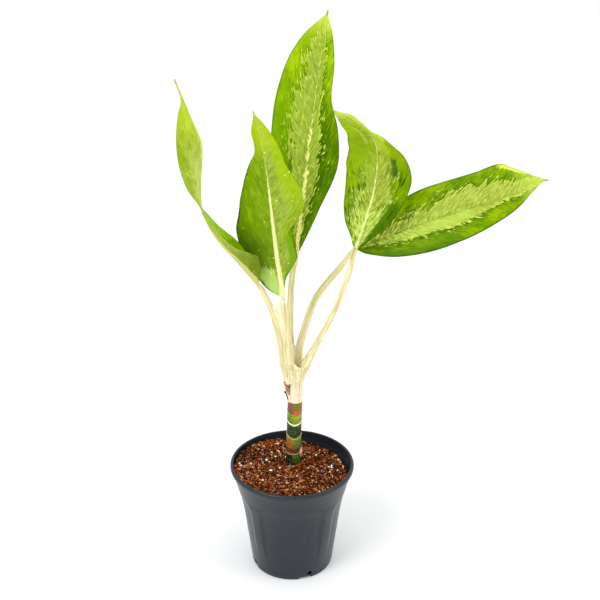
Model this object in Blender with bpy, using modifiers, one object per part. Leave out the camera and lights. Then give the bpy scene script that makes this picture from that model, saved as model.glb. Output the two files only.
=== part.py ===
# Potted Chinese evergreen: five variegated leaves on one short ringed cane, in a nursery pot.
# The origin is the middle of the pot's foot, +Z is up and the plant's show side faces -Y.
# Lengths are in millimetres here and become metres where meshes are made.
import math
import bmesh
import bpy
import numpy as np

MM = 0.001
SEAT_GAP = 0.3

# Pot, a turned thin shell with four shallow panels pressed into its wall
POT_HEIGHT = 160.2
RIM_RADIUS = 86.0
BEAD_HEIGHT = 7.5
FOOT_RADIUS = 55.4
WALL = 1.8
FLOOR_PAD_RADIUS = 40.0
CHANNEL_RISE = 4.5
FOOT_RING_WIDTH = 4.6
POT_STEPS = 60
WALL_FOOT = 9.0
WALL_HEAD = POT_HEIGHT - BEAD_HEIGHT - 1.0
OUTER_BENDS = (56.0, 136.5)
PANEL_COUNT = 4
PANEL_HALF_ANGLE = math.radians(37.5)
PANEL_TOP = 123.0
PANEL_CORNER = 16.0
PANEL_DEPTH = 1.7
PANEL_FADE_HEIGHT = 70.0
NOTCH_COUNT = 4
NOTCH_ANGLE = math.radians(-70.5)
NOTCH_WIDTH = 19.0
NOTCH_HEIGHT = 4.6
DRAIN_RADIUS = 3.4
DRAIN_OFFSET = 6.0

# Soil, filled to a little under the rim
SOIL_TOP = 146.8
SOIL_STEPS = 40
SOIL_CLODS = 0.9
SOIL_MOUND = 3.5
SOIL_SLANT = 6.5

# Cane, standing behind the middle of the pot and leaning slightly to the right
CANE_X = 1.2
CANE_Y = 20.0
CANE_LEAN = 0.03
CANE_BURIED_TO = 92.0
CROWN_HEIGHT = 249.0
CANE_FOOT_RADIUS = 10.8
CANE_TOP_RADIUS = 10.7
SCAR_HEIGHTS = (166.0, 176.0, 194.0, 216.0, 232.0)
SCAR_RISE = 0.5
CANE_STEPS = 18
BUD_HEIGHT = 167.0
BUD_LENGTH = 12.0
BUD_RADIUS = 2.6

# Leaf stalks, whose sheathing feet share the crown like slices of a cake
BUNDLE_X = CANE_X + CANE_LEAN * (CROWN_HEIGHT - SOIL_TOP)
BUNDLE_Y = CANE_Y
STALK_SIDES = 12
STALK_RINGS = 11
STALK_BOUND = ((249.0, 10.7, 4.3), (259.0, 11.1, 3.4), (275.0, 13.4, 2.2), (291.0, 17.0, 2.0),
               (308.0, 24.5, 2.0), (345.0, 42.0, 4.6), (400.0, 90.0, 4.6), (520.0, 150.0, 4.6))
FOOT_SPREAD = 6.2

# Blades
BLADE_THICKNESS = 0.7
RIB_THICKNESS = 3.2
BLADE_ROWS = 22
ACROSS = (-1.0, -0.8, -0.55, -0.3, -0.08, 0.0, 0.08, 0.3, 0.55, 0.8, 1.0)

# Each leaf: the rib's course from stalk to tip, the way its upper side faces by share of length,
# (share, left and right half widths, left and right fold in degrees), the back-sweep of the rows,
# the curl and edge wave, the stalk's course, the wedge of the crown, in degrees, that its foot
# fills, and its sheath: half width, share of the stalk where it ends, half widths of the stalk
# above it and of the neck under the blade.
EVEN_SWEEP = ((0, 0.75, 0.75), (0.12, 0.35, 0.35), (0.4, 0, 0), (1, -0.2, -0.2))
LEAVES = {
    "tall": {
        "rib": ((7, 45, 466), (15, 50, 538), (24, 58, 620), (36.5, 76, 716), (44, 90, 766),
                (46.5, 93, 778)),
        "face": ((0, 0, -1, 0.2), (0.5, 0, -1, 0.3), (1, 0.1, -1, 0.3)),
        "blade": ((0, 3, 3, 20, 20), (0.06, 14, 9, 22, 22), (0.2, 32, 23, 20, 20),
                  (0.38, 47.5, 40.5, 14, 16), (0.53, 51.5, 37, 8, 26), (0.65, 49.5, 25.5, 5, 40),
                  (0.78, 40.5, 25, 4, 50), (0.88, 25.5, 15.5, 4, 45), (0.96, 8, 4.5, 10, 25),
                  (1, 1, 1, 0, 0)),
        "sweep": EVEN_SWEEP,
        "curl": -20,
        "wave": 2.5,
        "stalk": ((1.6, 26, 280), (-1.2, 30, 315), (-3.2, 34, 350), (-1.8, 38, 396), (1.4, 42, 437)),
        "wedge": (70, 150),
        "sheath": (5.2, 0.6, 4.3, 4.1),
    },
    "front": {
        "rib": ((-11.5, -25.5, 434), (-14.5, -30.5, 464), (-18, -36, 492), (-23, -44, 545), (-28, -52, 600),
                (-34, -60, 650), (-42, -66, 690), (-45, -67, 702)),
        "face": ((0, 0.1, 1, 0), (0.5, 0.1, 1, -0.1), (1, 0.4, 1, 0)),
        "blade": ((0, 2, 4, 10, 24), (0.05, 4, 23.5, 12, 27.5), (0.1, 7.5, 35, 12, 29.5),
                  (0.16, 22, 48, 12, 29), (0.21, 26, 55, 12, 28), (0.32, 22, 58.5, 12, 27),
                  (0.43, 44, 50, 10, 24), (0.5, 49, 46.5, 10, 20), (0.56, 47, 40.5, 10, 18),
                  (0.63, 39, 33, 12, 16), (0.71, 27.5, 23.5, 14, 16), (0.78, 22.5, 12.5, 14, 14),
                  (0.89, 12.5, 10.5, 10, 10), (0.95, 6.5, 5, 10, 10), (1, 1, 1, 0, 0)),
        "sweep": ((0, 0.1, 0.3), (0.1, 0.08, 0.22), (0.4, 0, 0), (1, -0.2, -0.2)),
        "curl": 10,
        "wave": 0.5,
        "stalk": ((0.5, 9, 279), (-2.5, -1, 313), (-6, -11, 360), (-8, -18, 394)),
        "wedge": (238, 300),
        "sheath": (5.8, 0.66, 4.3, 4.0),
    },
    "left": {
        "rib": ((-43.5, -20, 449), (-67, -30, 485), (-94.5, -40, 525), (-112, -46, 569), (-118.5, -50, 608),
                (-124, -50, 652), (-130, -46, 706), (-139.5, -38, 732)),
        "face": ((0, 0.7, 0.1, 0.7), (0.2, 0.9, 0.2, 0.4), (0.4, 0.9, 0.22, 0.43), (0.55, 0.85, 0.5, 0.2),
                 (0.72, 0.7, 0.7, 0.1), (0.9, 0.6, 0.7, 0.2), (1, 0.6, 0.7, 0.2)),
        "blade": ((0, 20, 3, 60, 30), (0.06, 24, 10.5, 60, 34), (0.12, 26.5, 18, 50, 36),
                  (0.22, 28, 27, 30, 28), (0.35, 28, 24.5, 15, 14), (0.5, 27.5, 24, -12, -10),
                  (0.62, 27.5, 23.5, -12, -12), (0.75, 27, 18.5, -6, -10), (0.85, 11.5, 11, -8, -8),
                  (0.915, 2.5, 2.5, 0, 0), (1, 1, 1, 0, 0)),
        "sweep": ((0, -1.2, 0.3), (0.1, -0.75, 0.3), (0.3, 0, 0.2), (0.5, 0, 0), (1, -0.2, -0.2)),
        "curl": 0,
        "wave": 0.5,
        "stalk": ((-8.5, 14.5, 279), (-11.5, 10.5, 309), (-16.6, 3, 359), (-27.2, -6, 404),
                  (-37.3, -15.5, 434)),
        "wedge": (150, 238),
        "sheath": (7.0, 0.72, 4.4, 3.8),
    },
    "right_upper": {
        "rib": ((84, 10, 485), (95, 18, 519), (105, 26, 553), (110, 35, 592), (107.5, 40, 618),
                (96.5, 40, 633), (75, 34, 648), (51, 26.5, 670)),
        "face": ((0, -0.1, -1, 0.3), (0.5, -0.1, -1, 0.4), (0.7, -0.2, -0.8, 0.6), (0.85, -0.2, -0.7, 0.7),
                 (1, -0.2, -0.7, 0.7)),
        "blade": ((0, 2.5, 3, 14, 14), (0.08, 11.5, 12, 18, 14), (0.16, 23, 22, 18, 14),
                  (0.28, 34, 37, 18, 14), (0.42, 39.5, 47.5, 20, 16), (0.5, 40.5, 46, 22, 18),
                  (0.57, 41, 38, 22, 22), (0.63, 38, 23, 22, 30), (0.705, 27, 7.5, 18, 40),
                  (0.79, 14, 8, 14, 40), (0.86, 9, 10, 10, 40), (0.94, 4, 4, 10, 20), (1, 1, 1, 0, 0)),
        "sweep": ((0, 0.75, 0.75), (0.12, 0.35, 0.35), (0.4, 0, 0), (0.61, 0.05, 0), (0.705, -0.7, -0.1),
                  (0.79, -1.1, -0.2), (0.9, -0.8, -0.2), (1, -0.3, -0.2)),
        "curl": -10,
        "wave": 0.5,
        "stalk": ((10.3, 12.5, 280), (20, 8.5, 314), (38.6, 6, 355), (58.8, 6, 401), (76, 8, 453)),
        "wedge": (300, 360),
        "sheath": (4.8, 0.45, 3.9, 3.1),
    },
    "right_lower": {
        "rib": ((89, 34, 474), (146, 30, 501), (195, 28, 521), (230, 28, 533), (285, 31, 552),
                (318, 34, 568), (332, 36, 570)),
        "face": ((0, 0, -0.85, 0.5), (0.5, 0, -0.8, 0.6), (1, 0, -0.8, 0.6)),
        "blade": ((0, 3, 3, 14, 14), (0.06, 13, 13, 14, 14), (0.2, 30, 31.5, 12, 14),
                  (0.35, 41.5, 40.5, 10, 12), (0.5, 43.5, 40, 8, 12), (0.65, 43, 33, 6, 14),
                  (0.78, 42.5, 23.5, 6, 18), (0.87, 25.5, 12.5, 10, 20), (0.94, 8, 5, 10, 10),
                  (1, 1, 1, 0, 0)),
        "sweep": EVEN_SWEEP,
        "curl": -15,
        "wave": 1,
        "stalk": ((8, 24, 280), (9, 25, 323), (15, 26, 349), (27, 28, 390), (41, 30, 416),
                  (65, 32, 447)),
        "wedge": (0, 70),
        "sheath": (5.0, 0.5, 4.7, 3.2),
    },
}
WAVES = 2.5


# Smooth courses and stations

def eased(stations, share):
    """Values at a share along a list of stations, carried smoothly from one to the next."""
    marks = [row[0] for row in stations]
    values = np.array([row[1:] for row in stations], float)
    last = len(marks) - 1
    slopes = np.zeros_like(values)
    for i in range(len(marks)):
        low, high = max(i - 1, 0), min(i + 1, last)
        slopes[i] = (values[high] - values[low]) / (marks[high] - marks[low])
    i = min(max(sum(1 for mark in marks if mark <= share) - 1, 0), last - 1)
    span = marks[i + 1] - marks[i]
    t = min(max((share - marks[i]) / span, 0.0), 1.0)
    near = (1 + 2 * t) * (1 - t) ** 2 * values[i] + t * (1 - t) ** 2 * span * slopes[i]
    far = t * t * (3 - 2 * t) * values[i + 1] + t * t * (t - 1) * span * slopes[i + 1]
    return near + far


def course(points):
    """Stations along a line through the points, marked by share of its length."""
    points = [np.array(point, float) for point in points]
    lengths = [0.0]
    for a, b in zip(points, points[1:]):
        lengths.append(lengths[-1] + float(np.linalg.norm(b - a)))
    return [(length / lengths[-1], *point) for length, point in zip(lengths, points)]


def unit(vector):
    return vector / np.linalg.norm(vector)


def ahead_at(stations, share, step=0.01):
    """Direction of travel along a course."""
    return unit(eased(stations, min(share + step, 1.0)) - eased(stations, max(share - step, 0.0)))


def smooth_step(value, low, high):
    t = min(max((value - low) / (high - low), 0.0), 1.0)
    return t * t * (3 - 2 * t)


# Materials and objects

def make_material(name, colour, roughness):
    material = bpy.data.materials.new(name)
    material.use_nodes = True
    shader = material.node_tree.nodes["Principled BSDF"]
    shader.inputs["Base Color"].default_value = (*colour, 1.0)
    shader.inputs["Roughness"].default_value = roughness
    shader.inputs["Metallic"].default_value = 0.0
    return material


def make_object(name, mesh, collection, material=None):
    obj = bpy.data.objects.new(name, mesh)
    collection.objects.link(obj)
    if material is not None:
        mesh.materials.append(material)
    return obj


def finish_bmesh(name, bm, smooth_angle=40.0):
    mesh = bpy.data.meshes.new(name)
    bm.to_mesh(mesh)
    bm.free()
    mesh.shade_smooth()
    mesh.set_sharp_from_angle(angle=math.radians(smooth_angle))
    return mesh


def turned_mesh(name, profile, steps):
    """Closed turned body from an (r, z) profile that runs up the inside and down the outside."""
    line = bpy.data.meshes.new(name + "_profile")
    points = [(r * MM, 0.0, z * MM) for r, z in profile]
    line.from_pydata(points, [(i, i + 1) for i in range(len(points) - 1)], [])
    holder = bpy.data.objects.new(name + "_profile", line)
    bpy.context.scene.collection.objects.link(holder)
    screw = holder.modifiers.new("turn", "SCREW")
    screw.angle = math.tau
    screw.steps = steps
    screw.render_steps = steps
    screw.use_merge_vertices = True
    screw.merge_threshold = 0.00001
    depsgraph = bpy.context.evaluated_depsgraph_get()
    mesh = bpy.data.meshes.new_from_object(holder.evaluated_get(depsgraph))
    mesh.name = name
    bpy.data.objects.remove(holder)
    bpy.data.meshes.remove(line)
    return mesh


def add_cut(obj, cutter, operation="DIFFERENCE"):
    cut = obj.modifiers.new(operation.lower(), "BOOLEAN")
    cut.operation = operation
    cut.solver = "EXACT"
    cut.object = cutter


def hide_cutter(cutter):
    cutter.hide_render = True
    cutter.display_type = "WIRE"


# Pot

def outer_profile():
    """Outer side from the rim bead down to the foot, as (r, z) points."""
    bead_low = POT_HEIGHT - BEAD_HEIGHT
    return [
        (RIM_RADIUS - 2.6, POT_HEIGHT),
        (RIM_RADIUS - 0.7, POT_HEIGHT - 0.7),
        (RIM_RADIUS, POT_HEIGHT - 2.8),
        (RIM_RADIUS - 0.3, bead_low + 1.0),
        (RIM_RADIUS - 1.7, bead_low),
        (82.8, bead_low - 2.5),
        (78.7, 136.5),
        (76.2, PANEL_TOP + 3.5),
        (75.3, PANEL_TOP),
        (74.8, PANEL_TOP - 4.0),
        (73.7, PANEL_TOP - 10.0),
        (68.9, 85.3),
        (65.0, 56.0),
        (60.1, 27.3),
        (57.4, 9.5),
        (FOOT_RADIUS + 0.3, 1.2),
        (FOOT_RADIUS - 0.6, 0.0),
    ]


def inner_profile():
    """Inner side from the floor's edge up to the rim."""
    outside = outer_profile()
    wall = [(r - WALL, z) for r, z in outside if WALL_FOOT < z < WALL_HEAD and z not in OUTER_BENDS]
    wall.reverse()
    floor_edge = (FOOT_RADIUS - WALL - 1.0, CHANNEL_RISE + WALL)
    return [floor_edge] + wall + [(RIM_RADIUS - 4.4, POT_HEIGHT - 1.0)]


def inner_radius(z):
    """Radius of the pot's inner side at a height."""
    wall = inner_profile()
    for (r0, z0), (r1, z1) in zip(wall, wall[1:]):
        if z <= z1:
            return r0 + (r1 - r0) * (z - z0) / (z1 - z0)
    return wall[-1][0]


def panel_recess(angle, z):
    """Depth of the pressed panels at a place on the wall, deepest under their rounded top edge."""
    pitch = math.tau / PANEL_COUNT
    from_middle = abs((angle + math.pi / 2 + pitch / 2) % pitch - pitch / 2)
    radius = FOOT_RADIUS + (RIM_RADIUS - FOOT_RADIUS) * z / POT_HEIGHT
    side = (from_middle - PANEL_HALF_ANGLE) * radius
    over = max(side + PANEL_CORNER, 0.0)
    up = max(z - PANEL_TOP + PANEL_CORNER, 0.0)
    outside = math.hypot(over, up) - PANEL_CORNER
    edge = 1.0 - smooth_step(outside, -3.0, 1.0)
    fade = smooth_step(z, 8.0, PANEL_FADE_HEIGHT)
    return PANEL_DEPTH * edge * fade


def press_panels(mesh):
    for vertex in mesh.vertices:
        x, y, z = vertex.co
        radius = math.hypot(x, y)
        if radius < 50 * MM:
            continue
        depth = panel_recess(math.atan2(y, x), z / MM) * MM
        vertex.co.x = x * (radius - depth) / radius
        vertex.co.y = y * (radius - depth) / radius


def make_pot(parts, cutters):
    ring_inner = FOOT_RADIUS - FOOT_RING_WIDTH
    floor_top = [(0.0, WALL), (FLOOR_PAD_RADIUS - 1.4, WALL), (FLOOR_PAD_RADIUS + 1.2, CHANNEL_RISE + WALL)]
    underside = [
        (ring_inner, 0.0),
        (ring_inner - 1.0, CHANNEL_RISE),
        (FLOOR_PAD_RADIUS + 2.0, CHANNEL_RISE),
        (FLOOR_PAD_RADIUS, 0.0),
        (0.0, 0.0),
    ]
    mesh = turned_mesh("pot", floor_top + inner_profile() + outer_profile() + underside, POT_STEPS)
    press_panels(mesh)
    mesh.shade_smooth()
    mesh.set_sharp_from_angle(angle=math.radians(45))
    pot = make_object("pot", mesh, parts, make_material("pot_plastic", (0.06, 0.067, 0.072), 0.38))
    for i in range(NOTCH_COUNT):
        turn = NOTCH_ANGLE + i * math.tau / NOTCH_COUNT
        add_cut(pot, make_notch(f"notch_{i + 1}", turn, cutters))
        add_cut(pot, make_drain(f"drain_{i + 1}", turn, cutters))
    return pot


def make_notch(name, turn, cutters):
    bpy.ops.mesh.primitive_cube_add(size=1.0)
    notch = bpy.context.object
    notch.name = name
    length = FOOT_RING_WIDTH * 2.4
    middle = FOOT_RADIUS - FOOT_RING_WIDTH * 0.45
    notch.scale = (length * MM, NOTCH_WIDTH * MM, NOTCH_HEIGHT * 2 * MM)
    notch.rotation_euler = (0, 0, turn)
    notch.location = (middle * math.cos(turn) * MM, middle * math.sin(turn) * MM, 0)
    move_to(notch, cutters)
    return notch


def make_drain(name, turn, cutters):
    """Round drain hole at the foot of the wall, at the right end of a notch."""
    bpy.ops.mesh.primitive_cylinder_add(vertices=12, radius=DRAIN_RADIUS * MM, depth=16 * MM)
    drain = bpy.context.object
    drain.name = name
    radius = FOOT_RADIUS - 1.0
    x = radius * math.cos(turn) - DRAIN_OFFSET * math.sin(turn)
    y = radius * math.sin(turn) + DRAIN_OFFSET * math.cos(turn)
    drain.rotation_euler = (0, math.radians(90), turn)
    drain.location = (x * MM, y * MM, (CHANNEL_RISE + WALL + DRAIN_RADIUS - 0.6) * MM)
    move_to(drain, cutters)
    return drain


def move_to(obj, collection):
    for old in list(obj.users_collection):
        old.objects.unlink(obj)
    collection.objects.link(obj)
    hide_cutter(obj)


# Soil

def soil_height(x, y):
    """Height of the crumbly surface: heaped to the left and round the cane, low at the right."""
    coarse = math.sin(x * 0.31 + 1.3) * math.cos(y * 0.27 - 0.4)
    medium = math.sin(x * 0.83 - y * 0.41 + 2.0) * math.cos(y * 0.77 + x * 0.22)
    clods = SOIL_CLODS * (0.9 * coarse + 0.7 * medium)
    mound = SOIL_MOUND * math.exp(-((x - CANE_X) ** 2 + (y - CANE_Y) ** 2) / 800.0)
    return SOIL_TOP + clods + mound - SOIL_SLANT * math.tanh(x / 45.0)


def soil_profile():
    """Plain cone inside the pressed wall, wider above the panels where it meets the pot."""
    slack = PANEL_DEPTH + SEAT_GAP + 0.25
    lift = WALL + SEAT_GAP
    channel = FLOOR_PAD_RADIUS - 2.2
    wall = inner_profile()
    top_radius = wall[-2][0] - 2.0
    rings = [(top_radius * share, SOIL_TOP) for share in (0.0, 0.27, 0.42, 0.55, 0.69, 0.82, 0.93)]
    low = [(r - slack, z + (SEAT_GAP if z < 7 else 0.0)) for r, z in wall if z < PANEL_TOP + 5]
    return rings + [
        (top_radius, SOIL_TOP - 1.0),
        (top_radius - 3.5, SOIL_TOP - 14.0),
        *reversed(low),
        (channel + 2.4, CHANNEL_RISE + lift),
        (channel, lift),
        (0.0, lift),
    ]


def make_soil(parts, cutters):
    mesh = turned_mesh("soil", soil_profile(), SOIL_STEPS)
    for vertex in mesh.vertices:
        if vertex.co.z > (SOIL_TOP - 2.0) * MM:
            vertex.co.z += (soil_height(vertex.co.x / MM, vertex.co.y / MM) - SOIL_TOP) * MM
            room = (inner_radius(vertex.co.z / MM) - 1.2) * MM
            inward = min(room / max(math.hypot(vertex.co.x, vertex.co.y), MM), 1.0)
            vertex.co.x *= inward
            vertex.co.y *= inward
    mesh.shade_smooth()
    soil = make_object("soil", mesh, parts, make_material("coir_soil", (0.2, 0.075, 0.035), 0.95))
    hole_radius = (CANE_FOOT_RADIUS + SEAT_GAP + 0.15) * MM
    bpy.ops.mesh.primitive_cylinder_add(vertices=24, radius=hole_radius, depth=1.0)
    hole = bpy.context.object
    hole.name = "cane_hole"
    hole.location = (CANE_X * MM, CANE_Y * MM, 0.5 + (CANE_BURIED_TO - SEAT_GAP) * MM)
    move_to(hole, cutters)
    add_cut(soil, hole)
    return soil


# Cane

def cane_profile():
    profile = [(0.0, CROWN_HEIGHT)]

    def radius_at(z):
        share = smooth_step(z, SOIL_TOP, CROWN_HEIGHT)
        return CANE_FOOT_RADIUS - SCAR_RISE + (CANE_TOP_RADIUS - CANE_FOOT_RADIUS) * share

    profile.append((radius_at(CROWN_HEIGHT), CROWN_HEIGHT))
    for z in reversed(SCAR_HEIGHTS):
        profile.append((radius_at(z) - 0.1, z + 1.6))
        profile.append((radius_at(z) + SCAR_RISE, z))
        profile.append((radius_at(z), z - 2.0))
    profile.append((radius_at(SOIL_TOP), SOIL_TOP))
    profile.append((radius_at(SOIL_TOP), CANE_BURIED_TO + 2.0))
    profile.append((radius_at(SOIL_TOP) - 2.0, CANE_BURIED_TO))
    profile.append((0.0, CANE_BURIED_TO))
    return profile


def make_cane(parts, cutters):
    mesh = turned_mesh("cane", cane_profile(), CANE_STEPS)
    for vertex in mesh.vertices:
        lean = CANE_LEAN * max(vertex.co.z / MM - SOIL_TOP, 0.0)
        vertex.co.x += (CANE_X + lean) * MM
        vertex.co.y += CANE_Y * MM
    mesh.shade_smooth()
    mesh.set_sharp_from_angle(angle=math.radians(50))
    cane = make_object("cane", mesh, parts, make_material("ringed_cane", (0.08, 0.13, 0.03), 0.5))
    bpy.ops.mesh.primitive_cone_add(
        vertices=8, radius1=BUD_RADIUS * MM, radius2=0.5 * MM, depth=BUD_LENGTH * MM)
    bud = bpy.context.object
    bud.name = "side_bud"
    bud.rotation_euler = (0, math.radians(6), math.radians(-25))
    bud.location = (
        (CANE_X + 10.3) * MM,
        (CANE_Y - 4.0) * MM,
        (BUD_HEIGHT + BUD_LENGTH / 2) * MM)
    move_to(bud, cutters)
    add_cut(cane, bud, "UNION")
    return cane


# Leaf stalks

def bound_at(z):
    """Radius that holds the bundle of stalk feet at a height, and where its middle lies along X."""
    for (z0, r0, x0), (z1, r1, x1) in zip(STALK_BOUND, STALK_BOUND[1:]):
        if z <= z1:
            share = (z - z0) / (z1 - z0)
            return r0 + (r1 - r0) * share, x0 + (x1 - x0) * share
    return STALK_BOUND[-1][1:]


def stalk_course(leaf):
    """Course of a stalk from its slice of the crown to just under its blade."""
    rib = course(leaf["rib"])
    ahead = ahead_at(rib, 0.0)
    face = eased(leaf["face"], 0.0)
    face = unit(face - ahead * face.dot(ahead))
    end = np.array(leaf["rib"][0], float) - ahead * 0.9 - face * RIB_THICKNESS * 0.5
    before_end = end - ahead * 7.0
    middle = math.radians(sum(leaf["wedge"]) / 2)
    foot_x = BUNDLE_X + FOOT_SPREAD * math.cos(middle)
    foot_y = BUNDLE_Y + FOOT_SPREAD * math.sin(middle)
    foot = (foot_x, foot_y, CROWN_HEIGHT + SEAT_GAP)
    return course([foot, *leaf["stalk"], before_end, end])


def stalk_half_size(leaf, share):
    """Half width of a stalk: a clasping foot, a sheath, a round stalk and a slim neck."""
    sheath, end, stalk, neck = leaf["sheath"]
    sizes = ((0, 13), (0.15, 10.5), (0.3, sheath + 1.2), (end - 0.06, sheath), (end + 0.04, stalk + 0.2),
             (0.86, stalk * 0.6 + neck * 0.4), (0.94, neck), (1, 2.3))
    return eased(sizes, share)[0]


def slice_limit(centre, way, leaf):
    """Distance from a centre along a way to the sides of the stalk's slice of the crown."""
    limit = 1000.0
    flat = np.array((centre[0] - BUNDLE_X, centre[1] - BUNDLE_Y))
    for edge, sign in ((leaf["wedge"][0], 1.0), (leaf["wedge"][1], -1.0)):
        angle = math.radians(edge)
        outward = np.array((math.sin(angle), -math.cos(angle))) * sign
        room = -flat.dot(outward) - SEAT_GAP * 0.6
        pace = way[0] * outward[0] + way[1] * outward[1]
        if pace > 1e-6:
            limit = min(limit, max(room, 0.3) / pace)
    return limit


def bundle_limit(centre, way):
    """Distance from a centre along a way to the round outside of the bundle."""
    radius, middle_x = bound_at(centre[2])
    x, y = centre[0] - middle_x, centre[1] - BUNDLE_Y
    a = way[0] ** 2 + way[1] ** 2
    if a < 1e-9:
        return 1000.0
    b = x * way[0] + y * way[1]
    c = x * x + y * y - radius * radius
    return (-b + math.sqrt(max(b * b - a * c, 0.0))) / a


def stalk_ring(leaf, stations, share):
    """Points of one ring of a stalk, an ellipse kept inside its slice and the bundle."""
    centre = eased(stations, share)
    ahead = ahead_at(stations, share, 0.02)
    upright = np.array((0.0, 0.0, 1.0))
    ahead = unit(ahead * smooth_step(share, 0.0, 0.25) + upright * (1 - smooth_step(share, 0.0, 0.25)))
    middle = math.radians(sum(leaf["wedge"]) / 2)
    out = np.array((math.cos(middle), math.sin(middle), 0.0))
    across = unit(np.cross(upright, out))
    across = unit(across - ahead * across.dot(ahead))
    deep = np.cross(across, ahead)
    half = stalk_half_size(leaf, share)
    ring = []
    for k in range(STALK_SIDES):
        angle = math.tau * (k + 0.5) / STALK_SIDES
        way = across * math.cos(angle) + deep * math.sin(angle)
        reach = min(half, slice_limit(centre, way, leaf), bundle_limit(centre, way))
        ring.append(centre + way * reach)
    return ring


def make_stalk(name, leaf, parts, material):
    """Loft from a slice of the crown to the round stalk under the blade."""
    stations = stalk_course(leaf)
    bm = bmesh.new()
    rings = []
    for i in range(STALK_RINGS + 1):
        ring = stalk_ring(leaf, stations, i / STALK_RINGS)
        rings.append([bm.verts.new(point * MM) for point in ring])
    for low, high in zip(rings, rings[1:]):
        for k in range(STALK_SIDES):
            after = (k + 1) % STALK_SIDES
            bm.faces.new((low[k], low[after], high[after], high[k]))
    bm.faces.new(rings[0])
    bm.faces.new(rings[-1])
    bmesh.ops.recalc_face_normals(bm, faces=bm.faces)
    bmesh.ops.triangulate(bm, faces=bm.faces)
    return make_object("stalk_" + name, finish_bmesh("stalk_" + name, bm), parts, material)


# Blades

def blade_point(leaf, rib, share, across):
    """Point of a blade's upper side: across runs from -1 at the left edge to 1 at the right."""
    centre = eased(rib, share)
    ahead = ahead_at(rib, share)
    face = eased(leaf["face"], share)
    face = unit(face - ahead * face.dot(ahead))
    right = np.cross(ahead, face)
    left_width, right_width, left_fold, right_fold = eased(leaf["blade"], share)
    side, width, fold = (1, right_width, right_fold) if across >= 0 else (-1, left_width, left_fold)
    sweep = eased(leaf["sweep"], share)[1 if across >= 0 else 0]
    reach = abs(across)
    slope = math.radians(fold + leaf["curl"] * (reach * 0.5 - 0.35))
    bend = math.radians(leaf["curl"]) * reach * 0.5
    out = reach * math.cos(slope) * math.cos(bend * 0.5)
    rise = reach * math.sin(slope)
    phase = 0.8 if side > 0 else 2.6
    ripple = math.sin(math.tau * WAVES * share + phase)
    wave = leaf["wave"] * reach ** 2 * ripple * math.sin(math.pi * share)
    back = sweep * width * reach ** 1.5
    return centre + right * (side * width * out) + face * (width * rise + wave) - ahead * back


def make_blade(name, leaf, parts, material):
    """Waved blade: a grid laid along the rib, thickened downwards, with a raised rib below."""
    rib = course(leaf["rib"])
    columns = len(ACROSS) - 1
    bm = bmesh.new()
    bmesh.ops.create_grid(bm, x_segments=columns, y_segments=BLADE_ROWS, size=0.5)
    layer = bm.verts.layers.deform.new()
    for vertex in bm.verts:
        column = round((vertex.co.x + 0.5) * columns)
        share = min(max(vertex.co.y + 0.5, 0.0), 1.0)
        thick = BLADE_THICKNESS
        if ACROSS[column] == 0.0:
            thick += (RIB_THICKNESS - BLADE_THICKNESS) * (1 - share) ** 1.2
        vertex[layer][0] = thick / RIB_THICKNESS
        vertex.co = blade_point(leaf, rib, share, ACROSS[column]) * MM
    bmesh.ops.triangulate(bm, faces=bm.faces, quad_method="SHORT_EDGE")
    blade = make_object("blade_" + name, finish_bmesh("blade_" + name, bm), parts, material)
    blade.vertex_groups.new(name="thickness")
    body = blade.modifiers.new("body", "SOLIDIFY")
    body.thickness = RIB_THICKNESS * MM
    body.offset = -1.0
    body.vertex_group = "thickness"
    body.thickness_vertex_group = 0.0
    body.use_even_offset = False
    return blade


def main():
    for old in list(bpy.data.objects):
        bpy.data.objects.remove(old)
    parts = bpy.data.collections.new("potted_chinese_evergreen")
    cutters = bpy.data.collections.new("cutters")
    bpy.context.scene.collection.children.link(parts)
    bpy.context.scene.collection.children.link(cutters)
    make_pot(parts, cutters)
    make_soil(parts, cutters)
    make_cane(parts, cutters)
    stalk_skin = make_material("stalk_skin", (0.72, 0.66, 0.42), 0.45)
    leaf_green = make_material("leaf_green", (0.22, 0.42, 0.04), 0.35)
    for name, leaf in LEAVES.items():
        make_stalk(name, leaf, parts, stalk_skin)
        make_blade(name, leaf, parts, leaf_green)


main()
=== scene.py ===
import math
import random

import bmesh
import bpy
import numpy as np
from mathutils import Matrix, Vector, noise


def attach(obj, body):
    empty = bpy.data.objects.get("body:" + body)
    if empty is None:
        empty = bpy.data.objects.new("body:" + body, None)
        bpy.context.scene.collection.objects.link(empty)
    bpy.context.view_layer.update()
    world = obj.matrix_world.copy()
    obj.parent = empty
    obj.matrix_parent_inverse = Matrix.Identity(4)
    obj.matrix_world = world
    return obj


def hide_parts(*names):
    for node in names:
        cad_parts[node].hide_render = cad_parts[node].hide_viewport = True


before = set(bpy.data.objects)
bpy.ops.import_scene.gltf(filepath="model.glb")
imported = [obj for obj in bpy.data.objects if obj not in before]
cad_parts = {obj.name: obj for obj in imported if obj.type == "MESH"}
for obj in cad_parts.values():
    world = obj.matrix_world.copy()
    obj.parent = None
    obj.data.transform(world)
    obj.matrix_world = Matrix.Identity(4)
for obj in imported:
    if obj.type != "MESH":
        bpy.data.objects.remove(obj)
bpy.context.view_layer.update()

# Potted Chinese evergreen. Lengths are in millimetres here and become metres where meshes are made.
# The origin is the middle of the pot's foot, +Z is up and the plant's show side faces -Y.
MM = 0.001
CM = 0.1

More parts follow.
